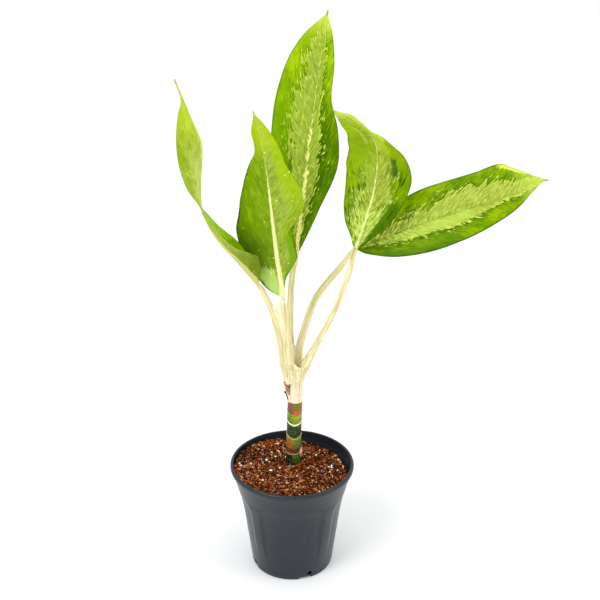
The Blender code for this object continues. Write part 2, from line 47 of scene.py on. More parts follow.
# Pot
POT_HEIGHT = 160.2
RIM_RADIUS = 86.0
BEAD_HEIGHT = 7.5
FOOT_RADIUS = 55.4
WALL = 1.8
WALL_LOW = 9.0
WALL_HIGH = 151.0
PAD_RADIUS = 40.0
CHANNEL_RISE = 4.5
FOOT_RING_WIDTH = 4.6
POT_STEPS = 192
PANEL_COUNT = 4
PANEL_HALF_ANGLE = math.radians(37.5)
PANEL_TOP = 123.0
PANEL_CORNER = 16.0
PANEL_DEPTH = 1.7
PANEL_FOOT = 8.0
PANEL_FADE_HEIGHT = 70.0
PANEL_SIDE_SLOPE = 5.0
PANEL_TOP_SLOPE = 6.0
PANEL_LIP = 2.6
NOTCH_COUNT = 4
NOTCH_ANGLE = math.radians(-70.5)
NOTCH_WIDTH = 19.0
NOTCH_HEIGHT = 4.6
DRAIN_RADIUS = 3.4
DRAIN_OFFSET = 6.0
DRAIN_LENGTH = 16.0
DRAIN_SIDES = 28

# Soil
SOIL_TOP = 146.8
SOIL_CLODS = 0.9
SOIL_MOUND = 3.5
SOIL_SLANT = 6.5
SOIL_RADIUS = 79.8
SOIL_RINGS = 44
SOIL_STEPS = 150
CANE_HOLE_SIDES = 48
GRANULES = 15500
GRANULE_SEED = 11
PERLITE_BITS = 170
PERLITE_SEED = 12
BIT_SIZES = (0.5, 1.8)
BITS_IN_A_BATCH = 50

# Cane
CANE_X = 1.2
CANE_Y = 20.0
CANE_LEAN = 0.03
CROWN_HEIGHT = 249.0
CANE_FOOT_RADIUS = 10.8
CANE_TOP_RADIUS = 10.7
CANE_LOW = 92.0
CANE_STEPS = 56
CANE_RING_STEP = 0.7
SCAR_HEIGHTS = (166.0, 176.0, 194.0, 216.0, 232.0)
SCAR_RISE = 0.6
SCAR_GROOVE = 0.35
SCAR_DIP = 4.6

# Leaf stalks, whose sheathing feet share the crown like slices of a cake. The bound holds their
# bundle: at a height, its radius and where its middle lies along X.
BUNDLE_X = CANE_X + CANE_LEAN * (CROWN_HEIGHT - SOIL_TOP)
BUNDLE_Y = CANE_Y
STALK_BOUND = ((249.0, 10.7, 4.3), (259.0, 11.1, 3.4), (275.0, 13.4, 2.2), (291.0, 16.4, 2.6),
               (308.0, 22.2, 4.3), (345.0, 42.0, 4.6), (400.0, 90.0, 4.6), (520.0, 150.0, 4.6))
FOOT_SPREAD = 6.2
SEAT_GAP = 0.3
STALK_SIDES = 32
STALK_RINGS = 96
FAR = 1000.0

# Each stalk's share of green and of pink, and how many centimetres up its foot is paler
STALK_TINTS = {"tall": (0.3, 0.35, 6), "front": (0.25, 0.45, 6), "left": (0.25, 0.4, 6),
               # right_lower's low green share and its pale foot up to 16 cm are painted light, lifting the
               # shade it stands in behind the other stalks at the crotch.
               "right_upper": (0.15, 0.7, 6), "right_lower": (0.6, 0.2, 16)}

# Each thin wing of sheath skin: the two stalks it spans, the height of its foot and of its top at
# either stalk, the sag of its top edge, and how far it stands forward
SHEATH_WEBS = {
    "left": ("left", "front", 300.0, 412.0, 420.0, 2.0, 2.0),
    "middle": ("tall", "right_lower", 256.0, 338.0, 334.0, 3.0, 6.4),
    "right": ("front", "right_upper", 252.0, 334.0, 314.0, 12.0, 4.4),
}
WEB_COLUMNS = 14
WEB_ROWS = 30
WEB_HEIGHTS = 60
WEB_THICKNESS = 0.3

# Dried scrap and strand at the foot of the sheaths. The strand's course is by direction in degrees,
# height and distance off the bundle of stalks.
SCALE_COLUMNS = 14
SCALE_ROWS = 16
SCALE_THICKNESS = 0.35
STRAND_SIDES = 10
STRAND_ROWS = 24
STRAND_COURSE = ((214, 251.5, 0.3), (209, 256.0, 0.5), (204, 261.0, 0.8), (200, 264.5, 1.6),
                 (198, 265.5, 2.6))

# Blades
BLADE_THICKNESS = 0.7
RIB_THICKNESS = 3.2
BLADE_ROWS = 190
BLADE_COLUMNS = 50
WAVES = 2.5
VEIN_SPACING = 11.0
VEIN_CURVE = 0.011

# Floor and camera, in metres and degrees
FLOOR_HALF = 12.0
CAMERA_SPOT = (0.011, -1.827, 1.357)
CAMERA_PITCH = 27.3
CAMERA_LENS = 93.72
CAMERA_SENSOR = 36.0

EVEN_SWEEP = ((0, 0.75, 0.75), (0.12, 0.35, 0.35), (0.4, 0, 0), (1, -0.2, -0.2))

# Each leaf: how far its side veins slant, the rib's course from stalk to tip, the way its upper
# side faces by share of its length, the blade by share (left and right half widths, left and right
# folds in degrees), the left and right back-sweep of the rows by share, the curl in degrees, the
# edge wave, the stalk's course, the wedge of the crown that its foot fills, in degrees, and its
# sheath: half width, share of the stalk where it ends, half widths of the stalk above it and of the
# neck under the blade.
LEAVES = {
    "tall": {
        "slant": 1.9,
        "rib": ((7, 45, 466), (15, 50, 538), (24, 58, 620), (36.5, 76, 716), (44, 90, 766),
                (46.5, 93, 778)),
        "face": ((0, 0, -1, 0.2), (0.5, 0, -1, 0.3), (1, 0.1, -1, 0.3)),
        "blade": ((0, 3, 3, 20, 20), (0.06, 14, 9, 22, 22), (0.2, 32, 23, 20, 20),
                  (0.38, 47.5, 40.5, 14, 16), (0.53, 51.5, 37, 8, 26), (0.65, 49.5, 25.5, 5, 40),
                  (0.78, 40.5, 25, 4, 50), (0.88, 25.5, 15.5, 4, 45), (0.955, 8, 4.5, 10, 25),
                  (0.982, 1.6, 1.4, 5, 10), (1, 0.7, 0.7, 0, 0)),
        "sweep": EVEN_SWEEP,
        "curl": -20,
        "wave": 2.5,
        "stalk": ((1.6, 26, 280), (-1.2, 30, 315), (-3.2, 34, 350), (-1.8, 38, 396), (1.4, 42, 437)),
        "wedge": (70, 150),
        "sheath": (5.2, 0.6, 4.3, 4.1),
    },
    "front": {
        "slant": 1.5,
        "rib": ((-11.5, -25.5, 434), (-14.5, -30.5, 464), (-18, -36, 492), (-23, -44, 545), (-28, -52, 600),
                (-34, -60, 650), (-42, -66, 690), (-45, -67, 702)),
        "face": ((0, 0.1, 1, 0), (0.5, 0.1, 1, -0.1), (1, 0.4, 1, 0)),
        "blade": ((0, 2, 7, 10, 24), (0.05, 4, 28.5, 12, 27.5), (0.1, 7.5, 39, 12, 29.5),
                  (0.16, 18, 49, 12, 29), (0.21, 25.5, 55, 12, 28), (0.3, 23, 58.5, 12, 27),
                  (0.35, 17.5, 56.5, 10, 25), (0.4, 28, 51.5, 10, 24), (0.45, 38, 47, 10, 22),
                  (0.5, 41.5, 43.5, 10, 20), (0.56, 39, 38, 10, 18), (0.63, 32.5, 31.5, 12, 16),
                  (0.71, 23.5, 22.5, 14, 16), (0.78, 20.5, 12.5, 14, 14),
                  (0.89, 12.5, 10.5, 10, 10), (0.945, 6.5, 5, 10, 10), (0.978, 1.5, 1.3, 5, 5),
                  (1, 0.7, 0.7, 0, 0)),
        "sweep": ((0, 0.1, 0.3), (0.1, 0.08, 0.22), (0.4, 0, 0), (1, -0.2, -0.2)),
        "curl": 10,
        "wave": 0.5,
        "stalk": ((0.5, 9, 279), (-2.5, -1, 313), (-6, -11, 360), (-8, -18, 394)),
        "wedge": (238, 300),
        "sheath": (5.8, 0.66, 4.3, 4.0),
    },
    "left": {
        "slant": 1.9,
        "rib": ((-43.5, -20, 449), (-67, -30, 485), (-94.5, -40, 525), (-112, -46, 569), (-118.5, -50, 608),
                (-124, -50, 652), (-130, -46, 706), (-139.5, -38, 732)),
        "face": ((0, 0.7, 0.1, 0.7), (0.2, 0.9, 0.2, 0.4), (0.4, 0.9, 0.22, 0.43), (0.55, 0.85, 0.5, 0.2),
                 (0.72, 0.7, 0.7, 0.1), (0.9, 0.6, 0.7, 0.2), (1, 0.6, 0.7, 0.2)),
        "blade": ((0, 21, 3, 60, 30), (0.06, 28.5, 10.5, 60, 34), (0.12, 28, 18, 50, 36),
                  (0.22, 28, 27, 30, 28), (0.35, 28, 24.5, 15, 14), (0.5, 27.5, 24, -12, -10),
                  (0.62, 27.5, 23.5, -12, -12), (0.75, 27, 18.5, -6, -10), (0.85, 11.5, 11, -8, -8),
                  (0.915, 2.5, 2.5, 0, 0), (1, 1, 1, 0, 0)),
        "sweep": ((0, -1.15, 0.3), (0.06, -0.85, 0.3), (0.12, -0.62, 0.3), (0.3, 0, 0.2), (0.5, 0, 0),
                  (1, -0.2, -0.2)),
        "curl": 0,
        "wave": 0.5,
        "stalk": ((-7.6, 14.5, 279), (-9.8, 10.5, 309), (-15.2, 3, 359), (-26.6, -6, 404),
                  (-37.3, -15.5, 434)),
        "wedge": (150, 238),
        "sheath": (5.9, 0.72, 4.2, 3.8),
    },
    "right_upper": {
        "slant": 1.9,
        "rib": ((84, 10, 485), (95, 18, 519), (105, 26, 553), (110, 35, 592), (107.5, 40, 618),
                (96.5, 40, 633), (75, 34, 648), (51, 26.5, 670)),
        "face": ((0, -0.1, -1, 0.3), (0.5, -0.1, -1, 0.4), (0.7, -0.2, -0.8, 0.6), (0.85, -0.2, -0.7, 0.7),
                 (1, -0.2, -0.7, 0.7)),
        "blade": ((0, 2.5, 3, 14, 14), (0.08, 11.5, 12, 18, 14), (0.16, 24, 22, 18, 14),
                  (0.22, 31, 30, 18, 14), (0.28, 35.5, 37, 18, 14), (0.42, 39.5, 47.5, 20, 16),
                  (0.5, 40.5, 45.5, 22, 18), (0.57, 41.5, 37, 22, 22), (0.63, 38.5, 21, 22, 30),
                  (0.705, 27, 6, 18, 40), (0.79, 14, 8, 14, 40), (0.86, 9, 10, 10, 40),
                  (0.94, 4, 4, 10, 20), (0.98, 1.4, 1.4, 0, 0), (1, 0.7, 0.7, 0, 0)),
        "sweep": ((0, 0.75, 0.75), (0.12, 0.35, 0.35), (0.4, 0, 0), (0.61, 0.05, 0), (0.705, -0.7, -0.1),
                  (0.79, -1.1, -0.2), (0.9, -0.8, -0.2), (1, -0.3, -0.2)),
        "curl": -10,
        "wave": 0.5,
        "stalk": ((10.3, 12.5, 280), (20, 8.5, 314), (38.6, 6, 355), (58.8, 6, 401), (76, 8, 453)),
        "wedge": (300, 360),
        "sheath": (4.8, 0.45, 3.9, 3.1),
    },
    "right_lower": {
        "slant": 1.5,
        "rib": ((89, 34, 474), (146, 30, 501), (195, 28, 521), (230, 28, 533), (285, 31, 552),
                (318, 34, 568), (332, 36, 570)),
        "face": ((0, 0, -0.85, 0.5), (0.5, 0, -0.8, 0.6), (1, 0, -0.8, 0.6)),
        "blade": ((0, 3, 3, 14, 14), (0.06, 13, 13, 14, 14), (0.2, 30, 31.5, 12, 14),
                  (0.35, 41.5, 40.5, 10, 12), (0.5, 43.5, 40, 8, 12), (0.65, 43, 33, 6, 14),
                  (0.78, 42.5, 23.5, 6, 18), (0.87, 25.5, 12.5, 10, 20), (0.935, 9, 5.5, 10, 10),
                  (0.975, 2, 1.6, 5, 5), (1, 0.7, 0.7, 0, 0)),
        "sweep": EVEN_SWEEP,
        "curl": -15,
        "wave": 1,
        "stalk": ((8, 24, 280), (9, 25, 323), (15, 26, 349), (27, 28, 390), (41, 30, 416),
                  (65, 32, 447)),
        "wedge": (0, 70),
        "sheath": (5.0, 0.5, 4.7, 3.2),
    },
}


# Smooth courses and stations

def eased(stations, share):
    """Values at a share along a list of stations, carried smoothly from one to the next."""
    marks = [row[0] for row in stations]
    values = np.array([row[1:] for row in stations], float)
    last = len(marks) - 1
    slopes = np.zeros_like(values)
    for i in range(len(marks)):
        low, high = max(i - 1, 0), min(i + 1, last)
        slopes[i] = (values[high] - values[low]) / (marks[high] - marks[low])
    i = min(max(sum(1 for mark in marks if mark <= share) - 1, 0), last - 1)
    span = marks[i + 1] - marks[i]
    t = min(max((share - marks[i]) / span, 0.0), 1.0)
    near = (1 + 2 * t) * (1 - t) ** 2 * values[i] + t * (1 - t) ** 2 * span * slopes[i]
    far = t * t * (3 - 2 * t) * values[i + 1] + t * t * (t - 1) * span * slopes[i + 1]
    return near + far


def course(points):
    """Stations along a line through the points, marked by share of its length."""
    points = [np.array(point, float) for point in points]
    lengths = [0.0]
    for a, b in zip(points, points[1:]):
        lengths.append(lengths[-1] + float(np.linalg.norm(b - a)))
    return [(length / lengths[-1], *point) for length, point in zip(lengths, points)]


def course_length(points):
    points = [np.array(point, float) for point in points]
    return sum(float(np.linalg.norm(b - a)) for a, b in zip(points, points[1:]))


def unit(vector):
    return vector / np.linalg.norm(vector)


def square_to(ahead, vector):
    """The vector's part square to a direction, one unit long."""
    return unit(vector - ahead * vector.dot(ahead))


def ahead_at(stations, share, step=0.01):
    """Direction of travel along a course."""
    return unit(eased(stations, min(share + step, 1.0)) - eased(stations, max(share - step, 0.0)))


def smooth_step(value, low, high):
    t = min(max((value - low) / (high - low), 0.0), 1.0)
    return t * t * (3 - 2 * t)


# Pieces

def placed(name, data):
    """A new object in the scene, with its data named after it."""
    data.name = name
    thing = bpy.data.objects.new(name, data)
    bpy.context.scene.collection.objects.link(thing)
    return thing


def add_piece(name, mesh, materials, node=None):
    """Puts a finished mesh in the scene as a piece that rides on the plant."""
    piece = placed(name, mesh)
    for material in materials:
        mesh.materials.append(material)
    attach(piece, "root")
    if node:
        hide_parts(node)
    return piece


def mesh_from(bm, sharp_angle=None):
    mesh = bpy.data.meshes.new("mesh")
    bm.to_mesh(mesh)
    bm.free()
    mesh.shade_smooth()
    if sharp_angle is not None:
        mesh.set_sharp_from_angle(angle=math.radians(sharp_angle))
    return mesh


def as_built(holder):
    """Mesh of an object with its modifiers worked in."""
    depsgraph = bpy.context.evaluated_depsgraph_get()
    return bpy.data.meshes.new_from_object(holder.evaluated_get(depsgraph))


def give_skin(sheet, thickness, offset):
    skin = sheet.modifiers.new("skin", "SOLIDIFY")
    skin.thickness = thickness * MM
    skin.offset = offset


def carved(mesh, cutters, sharp_angle):
    """The mesh with the cutters taken out of it; the cutters are removed."""
    holder = placed("uncut", mesh)
    for cutter in cutters:
        cut = holder.modifiers.new("cut", "BOOLEAN")
        cut.operation = "DIFFERENCE"
        cut.solver = "EXACT"
        cut.object = cutter
    result = as_built(holder)
    for body in (holder, *cutters):
        data = body.data
        bpy.data.objects.remove(body)
        bpy.data.meshes.remove(data)
    result.shade_smooth()
    result.set_sharp_from_angle(angle=math.radians(sharp_angle))
    result.materials.clear()
    return result


def grid(columns, rows):
    """Flat sheet of quads, one unit wide and tall about the origin."""
    bm = bmesh.new()
    bmesh.ops.create_grid(bm, x_segments=columns, y_segments=rows, size=0.5)
    return bm


def spun(profile, steps):
    """Closed turned body from an (r, z) profile in millimetres."""
    bm = bmesh.new()
    line = [bm.verts.new((r * MM, 0, z * MM)) for r, z in profile]
    edges = [bm.edges.new(pair) for pair in zip(line, line[1:])]
    bmesh.ops.spin(bm, geom=line + edges, cent=(0, 0, 0), axis=(0, 0, 1), dvec=(0, 0, 0),
                   angle=math.tau, steps=steps, use_merge=True, use_duplicate=False)
    bmesh.ops.remove_doubles(bm, verts=bm.verts, dist=0.00001)
    bmesh.ops.recalc_face_normals(bm, faces=bm.faces)
    return bm


def stepped(points, step):
    """The profile with extra points, so that none of its runs is longer than the step."""
    out = [points[0]]
    for (r0, z0), (r1, z1) in zip(points, points[1:]):
        count = max(1, math.ceil(math.hypot(r1 - r0, z1 - z0) / step))
        for i in range(1, count + 1):
            out.append((r0 + (r1 - r0) * i / count, z0 + (z1 - z0) * i / count))
    return out


# Finishes

class Finish:
    """A material's node tree, with short ways to add nodes and join them."""

    def __init__(self, name, roughness, **fixed):
        self.material = bpy.data.materials.new(name)
        self.material.use_nodes = True
        self.tree = self.material.node_tree
        self.shader = self.tree.nodes["Principled BSDF"]
        self.shader.inputs["Roughness"].default_value = roughness
        for socket, value in fixed.items():
            self.shader.inputs[socket.replace("_", " ")].default_value = value

    def join(self, source, target):
        if isinstance(source, bpy.types.NodeSocket):
            self.tree.links.new(source, target)
        elif target.type == "RGBA" and len(source) == 3:
            target.default_value = (*source, 1)
        else:
            target.default_value = source

    def add(self, kind, inputs=(), **settings):
        node = self.tree.nodes.new("ShaderNode" + kind)
        for setting, value in settings.items():
            setattr(node, setting, value)
        for key, value in dict(inputs).items():
            self.join(value, node.inputs[key])
        return node

    def math(self, operation, a, b=0.0, clamp=False):
        node = self.add("Math", {0: a, 1: b}, operation=operation, use_clamp=clamp)
        return node.outputs[0]

    def times(self, first, *others):
        for other in others:
            first = self.math("MULTIPLY", first, other)
        return first

    def plus(self, first, *others, clamp=False):
        for other in others:
            first = self.math("ADD", first, other, clamp)
        return first

    def minus(self, a, b):
        return self.math("SUBTRACT", a, b)

    def mix(self, share, a, b):
        return self.add("Mix", {0: share, 6: a, 7: b}, data_type="RGBA").outputs[2]

    def coat(self, colour, mask, strength, paint):
        """The colour with paint over it where the mask is, so strongly."""
        return self.mix(self.times(mask, strength), colour, paint)

    def coats(self, colour, rows):
        """Several coats, each where its field goes smoothly from its low to its high mark."""
        for field, low, high, strength, paint in rows:
            colour = self.coat(colour, self.soft(field, low, high), strength, paint)
        return colour

    def soft(self, value, low, high, to_low=0.0, to_high=1.0):
        """Smooth step from low to high."""
        inputs = {"Value": value, "From Min": low, "From Max": high, "To Min": to_low, "To Max": to_high}
        return self.add("MapRange", inputs, interpolation_type="SMOOTHSTEP").outputs[0]

    def vector(self, x, y, z):
        return self.add("CombineXYZ", {0: x, 1: y, 2: z}).outputs[0]

    def parts(self, vector):
        return self.add("SeparateXYZ", {0: vector}).outputs

    def attribute(self, name):
        return self.add("Attribute", attribute_name=name).outputs["Vector"]

    def number(self, name):
        return self.add("Attribute", attribute_name=name).outputs["Fac"]

    def place(self):
        return self.add("TexCoord").outputs["Object"]

    def noise(self, vector, scale, detail=2.0, roughness=0.5):
        inputs = {"Vector": vector, "Scale": scale, "Detail": detail, "Roughness": roughness}
        return self.add("TexNoise", inputs).outputs[0]

    def ramp(self, value, stops):
        node = self.add("ValToRGB", {0: value})
        bands = node.color_ramp.elements
        while len(bands) < len(stops):
            bands.new(0.5)
        for band, (at, colour) in zip(bands, stops):
            band.position = at
            band.color = (*colour, 1)
        return node.outputs[0]

    def blend(self, share, a, b):
        """Number between a and b."""
        return self.add("Mix", {0: share, 2: a, 3: b}, data_type="FLOAT").outputs[0]

    def stations(self, value, stops):
        """Number read off stations of (place, amount), both 0 to 1."""
        return self.ramp(value, [(at, (amount, amount, amount)) for at, amount in stops])

    def within(self, value, low, high, edge):
        """Mask of the values between low and high, with soft edges."""
        from_low = self.soft(value, low - edge, low + edge)
        return self.times(from_low, self.soft(value, high + edge, high - edge))

    def dots(self, vector, scale, size, share):
        """Round dots in some of the cells of a scattered pattern."""
        cells = self.add("TexVoronoi", {"Vector": vector, "Scale": scale})
        chosen = self.soft(self.parts(cells.outputs["Color"])[0], 1 - share, 1 - share + 0.02)
        return self.times(self.soft(cells.outputs["Distance"], size * 1.3, size * 0.7), chosen)

    def finish(self, colour, roughness=None, height=None, depth=0.0002, strength=0.4):
        self.join(colour, self.shader.inputs["Base Color"])
        if roughness is not None:
            self.join(roughness, self.shader.inputs["Roughness"])
        if height is not None:
            bump = self.add("Bump", {"Height": height, "Distance": depth, "Strength": strength})
            self.join(bump.outputs[0], self.shader.inputs["Normal"])
        return self.material


def rgb(red, green, blue):
    """Colour as seen on a screen, 0 to 255, in the shader's linear numbers."""
    def linear(value):
        value = value / 255
        return value / 12.92 if value <= 0.04045 else ((value + 0.055) / 1.055) ** 2.4
    return linear(red), linear(green), linear(blue)


def plastic_finish():
    f = Finish("slate_grey_plastic", 0.38, Specular_IOR_Level=0.4)
    place = f.place()
    x, y, z = f.parts(place)
    cloud = f.noise(place, 14, 3)
    streaks = f.noise(f.vector(f.times(x, 60), f.times(y, 60), f.times(z, 6)), 3, 2)
    grain = f.noise(place, 1500, 2)
    colour = f.mix(cloud, rgb(16, 24, 30), rgb(30, 39, 47))
    colour = f.coats(colour, [(streaks, 0.55, 0.8, 0.08, rgb(84, 90, 94))])
    roughness = f.plus(f.times(cloud, 0.14), f.times(grain, 0.1), 0.2)
    return f.finish(colour, roughness, grain, 0.0001, 0.25)


def soil_finish():
    f = Finish("damp_coir", 0.9, Specular_IOR_Level=0.05)
    lumps = f.noise(f.place(), 240, 4, 0.65)
    colour = f.ramp(lumps, ((0.3, rgb(6, 2, 0)), (0.5, rgb(40, 16, 6)), (0.7, rgb(104, 50, 20))))
    return f.finish(colour, None, lumps, 0.002, 0.8)


def granule_finish():
    f = Finish("coir_granule", 0.7, Specular_IOR_Level=0.08)
    # Tone differs at random from granule to granule. The near-black and near-white ends of the ramp are
    # partly the coir's own tones, partly painted shade for the gaps and painted glints.
    colour = f.ramp(f.number("tone"), (
        (0.0, rgb(4, 1, 0)), (0.22, rgb(34, 10, 2)), (0.42, rgb(106, 42, 10)), (0.64, rgb(162, 78, 26)),
        (0.84, rgb(208, 114, 48)), (0.95, rgb(242, 174, 112)), (1.0, rgb(255, 228, 196))))
    fibres = f.noise(f.place(), 700, 3, 0.6)
    colour = f.mix(f.soft(fibres, 0.35, 0.7), f.mix(0.5, colour, rgb(20, 8, 4)), colour)
    damp = f.noise(f.place(), 26, 2)
    colour = f.coats(colour, [(damp, 0.52, 0.38, 0.45, rgb(38, 15, 6))])
    return f.finish(colour, None, fibres, 0.0006, 0.7)


def perlite_finish():
    f = Finish("white_perlite", 0.8, Specular_IOR_Level=0.1)
    pits = f.noise(f.place(), 1400, 3, 0.6)
    colour = f.mix(f.soft(pits, 0.3, 0.5), rgb(240, 216, 186), rgb(255, 244, 222))
    return f.finish(colour, None, pits, 0.0003, 0.3)


def cane_finish():
    """Bands by the height along the cane, in millimetres, with the cream scars between them."""
    f = Finish("ringed_cane_skin", 0.42, Specular_IOR_Level=0.3)
    place = f.place()
    wander = f.times(f.minus(f.noise(place, 150, 3), 0.5), 6.0)
    height = f.number("height")
    low, high = 150.0, 250.0
    band = f.math("DIVIDE", f.minus(f.plus(height, wander), low), high - low)
    left = f.ramp(band, (
        (0.0, rgb(16, 30, 14)), (0.15, rgb(14, 28, 14)), (0.18, rgb(112, 50, 30)), (0.25, rgb(92, 40, 22)),
        (0.28, rgb(150, 78, 22)), (0.42, rgb(172, 112, 30)), (0.46, rgb(40, 66, 26)),
        (0.64, rgb(22, 48, 18)), (0.68, rgb(76, 116, 10)), (0.81, rgb(112, 150, 18)),
        (0.84, rgb(116, 60, 44)), (1.0, rgb(150, 76, 62))))
    right = f.ramp(band, (
        (0.0, rgb(36, 66, 20)), (0.13, rgb(62, 100, 26)), (0.18, rgb(100, 52, 34)), (0.25, rgb(70, 48, 24)),
        (0.3, rgb(88, 116, 26)), (0.43, rgb(116, 146, 40)), (0.46, rgb(24, 50, 24)),
        (0.64, rgb(34, 64, 24)), (0.68, rgb(116, 144, 10)), (0.8, rgb(156, 178, 30)),
        (0.82, rgb(214, 92, 44)), (0.86, rgb(190, 96, 50)), (0.9, rgb(128, 104, 30)),
        (1.0, rgb(130, 128, 26))))
    side = f.soft(f.plus(f.parts(place)[0], f.times(wander, 0.0014)), -0.002, 0.005)
    mottle = f.noise(place, 480, 3, 0.6)
    colour = f.coats(f.mix(side, left, right), (
        (mottle, 0.52, 0.66, 0.75, rgb(30, 28, 10)), (mottle, 0.44, 0.34, 0.45, rgb(190, 176, 60))))
    for scar, tint, half, strength in ((216, rgb(244, 242, 184), 1.3, 1.0),
                                       (194, rgb(206, 200, 128), 0.8, 0.9),
                                       (167, rgb(150, 150, 138), 0.7, 0.8)):
        off = f.math("ABSOLUTE", f.minus(height, scar))
        colour = f.coats(colour, [(off, half * 1.5, half * 0.6, strength, tint)])
    return f.finish(colour, None, mottle, 0.0005, 0.5)


def stalk_finish(name, green, pink, pale_to):
    """Waxy cream skin with long green, grey and brown streaks, paler up to so many centimetres."""
    f = Finish(name, 0.42, Subsurface_Weight=0.1, Subsurface_Scale=0.002, Specular_IOR_Level=0.2)
    x, y, z = f.parts(f.attribute("skin"))
    streaks, lines, blush, specks = [
        f.noise(f.vector(x, y, f.times(z, squeeze)), scale, detail)
        for squeeze, scale, detail in ((0.05, 3.2, 2), (0.025, 6.5, 1), (0.12, 2.1, 2), (0.6, 14, 1))]
    colour = f.mix(f.soft(streaks, 0.36, 0.6), rgb(214, 206, 146), rgb(242, 234, 192))
    colour = f.coats(colour, (
        (streaks, 0.52, 0.64, green, rgb(188, 200, 106)),
        (blush, 0.5, 0.7, pink * 0.8, rgb(236, 192, 146)),
        (lines, 0.58, 0.64, pink, rgb(176, 128, 76)),
        (lines, 0.42, 0.37, 0.5, rgb(164, 166, 88)),
        (specks, 0.64, 0.7, 0.35, rgb(150, 146, 84)),
        # Paler foot up to pale_to centimetres; on the right_lower stalk that reach is painted light.
        (z, pale_to, 1.0, 0.65, rgb(248, 236, 212)),
        (z, 0.16, 0.05, 1.0, rgb(236, 232, 150))))
    return f.finish(colour, None, streaks, 0.0003, 0.3)


def web_finish():
    """Pale papery skin of the sheaths' thin wings."""
    f = Finish("pale_sheath_skin", 0.5, Specular_IOR_Level=0.2)
    x, y, z = f.parts(f.place())
    streaks = f.noise(f.vector(x, y, f.times(z, 0.06)), 330)
    colour = f.mix(f.soft(streaks, 0.35, 0.65), rgb(222, 214, 160), rgb(250, 244, 216))
    return f.finish(colour, None, streaks, 0.0003, 0.3)


def dried_finish():
    """Brown, pink and dark dried skin."""
    f = Finish("dried_sheath_skin", 0.7)
    patches = f.noise(f.place(), 260, 3, 0.6)
    colour = f.ramp(patches, ((0.35, rgb(92, 46, 30)), (0.5, rgb(168, 104, 70)), (0.62, rgb(214, 168, 130))))
    return f.finish(colour, None, patches, 0.0005, 0.6)


class LeafGround:
    """Places on a leaf: reach from rib to edge, share of the length, side, centimetres out from the
    rib, and noises drawn out along the side veins."""

    def __init__(self, f, look):
        self.f = f
        self.look = look
        self.seed = look["seed"]
        across, self.share, side = f.parts(f.attribute("place"))
        out, along, _ = f.parts(f.attribute("flat"))
        self.right = f.soft(side, -0.5, 0.5)
        self.reach = f.math("ABSOLUTE", across)
        self.out = f.math("ABSOLUTE", out)
        self.ground = f.vector(out, along, self.seed)
        self.lumps = f.noise(f.vector(out, along, self.seed + 71), 1.1)
        slant = self.sided("slant")
        steep = f.blend(self.right, *[math.hypot(1, pull) for pull in look["slant"]])
        curve = f.times(self.out, self.out, VEIN_CURVE / CM)
        vein = f.minus(f.minus(along, f.times(self.out, slant)), curve)
        self.vein = f.plus(f.math("DIVIDE", vein, steep), self.off(self.lumps, 0.35))
        self.drawn = f.math("DIVIDE", f.plus(self.out, f.times(along, slant)), steep)
        self.broad = self.strokes(0.7, 0.3, 0, 1)
        self.teeth = self.strokes(1.7, 0.45, 11, 2)
        self.hair = self.strokes(5.0, 0.8, 23, 2)
        self.grain = self.strokes(4.6, 1.3, 37, 1)
        self.cloud = self.strokes(0.45, 0.3, 51, 2)

    def strokes(self, fine, coarse, shift, detail):
        """Noise with so many turns a centimetre across the veins and along them."""
        f = self.f
        layer = f.plus(f.times(self.right, 3.7), self.seed + shift)
        vector = f.vector(f.times(self.vein, fine), f.times(self.drawn, coarse), layer)
        return f.noise(vector, 1.0, detail, 0.55)

    def off(self, field, amount):
        """A noise's swing to either side of its middle."""
        return self.f.times(self.f.minus(field, 0.5), amount)

    def sided(self, key):
        """The look's number for the left or the right side."""
        return self.f.blend(self.right, *self.look[key])

    def by_share(self, key):
        """Number read off the look's stations for the left and the right side."""
        left, right = [self.f.stations(self.share, self.look[key + side]) for side in ("_left", "_right")]
        return self.f.blend(self.right, left, right)

    def painted(self, colour, patches):
        """The colour with soft patches over it, each on one side, between shares and reaches."""
        f = self.f
        share = f.plus(self.share, self.off(self.teeth, 0.06))
        reach = f.plus(self.reach, self.off(self.hair, 0.25))
        for side, shares, reaches, tint, strength, edge in patches:
            mask = f.times(f.within(share, *shares, edge), f.within(reach, *reaches, edge * 2))
            if side:
                mask = f.times(mask, self.right if side > 0 else f.minus(1.0, self.right))
            colour = f.coat(colour, mask, strength, tint)
        return colour

    def rim(self, low, high):
        """The blade's edge and the last of its tip."""
        f = self.f
        return f.plus(f.soft(self.reach, low, high), f.soft(self.share, 0.975, 0.985), clamp=True)

    def height(self, ridge_depth):
        f = self.f
        ridge = f.math("SINE", f.times(self.vein, math.tau / CM / VEIN_SPACING))
        return f.plus(f.times(ridge, ridge_depth), f.times(self.hair, 0.6))


def leaf_shader(name, look, roughness):
    f = Finish(name, roughness, Subsurface_Weight=look["glow"], Subsurface_Scale=0.001,
               Specular_IOR_Level=look["gloss"])
    f.shader.inputs["Subsurface Radius"].default_value = (0.8, 1.0, 0.1)
    return f


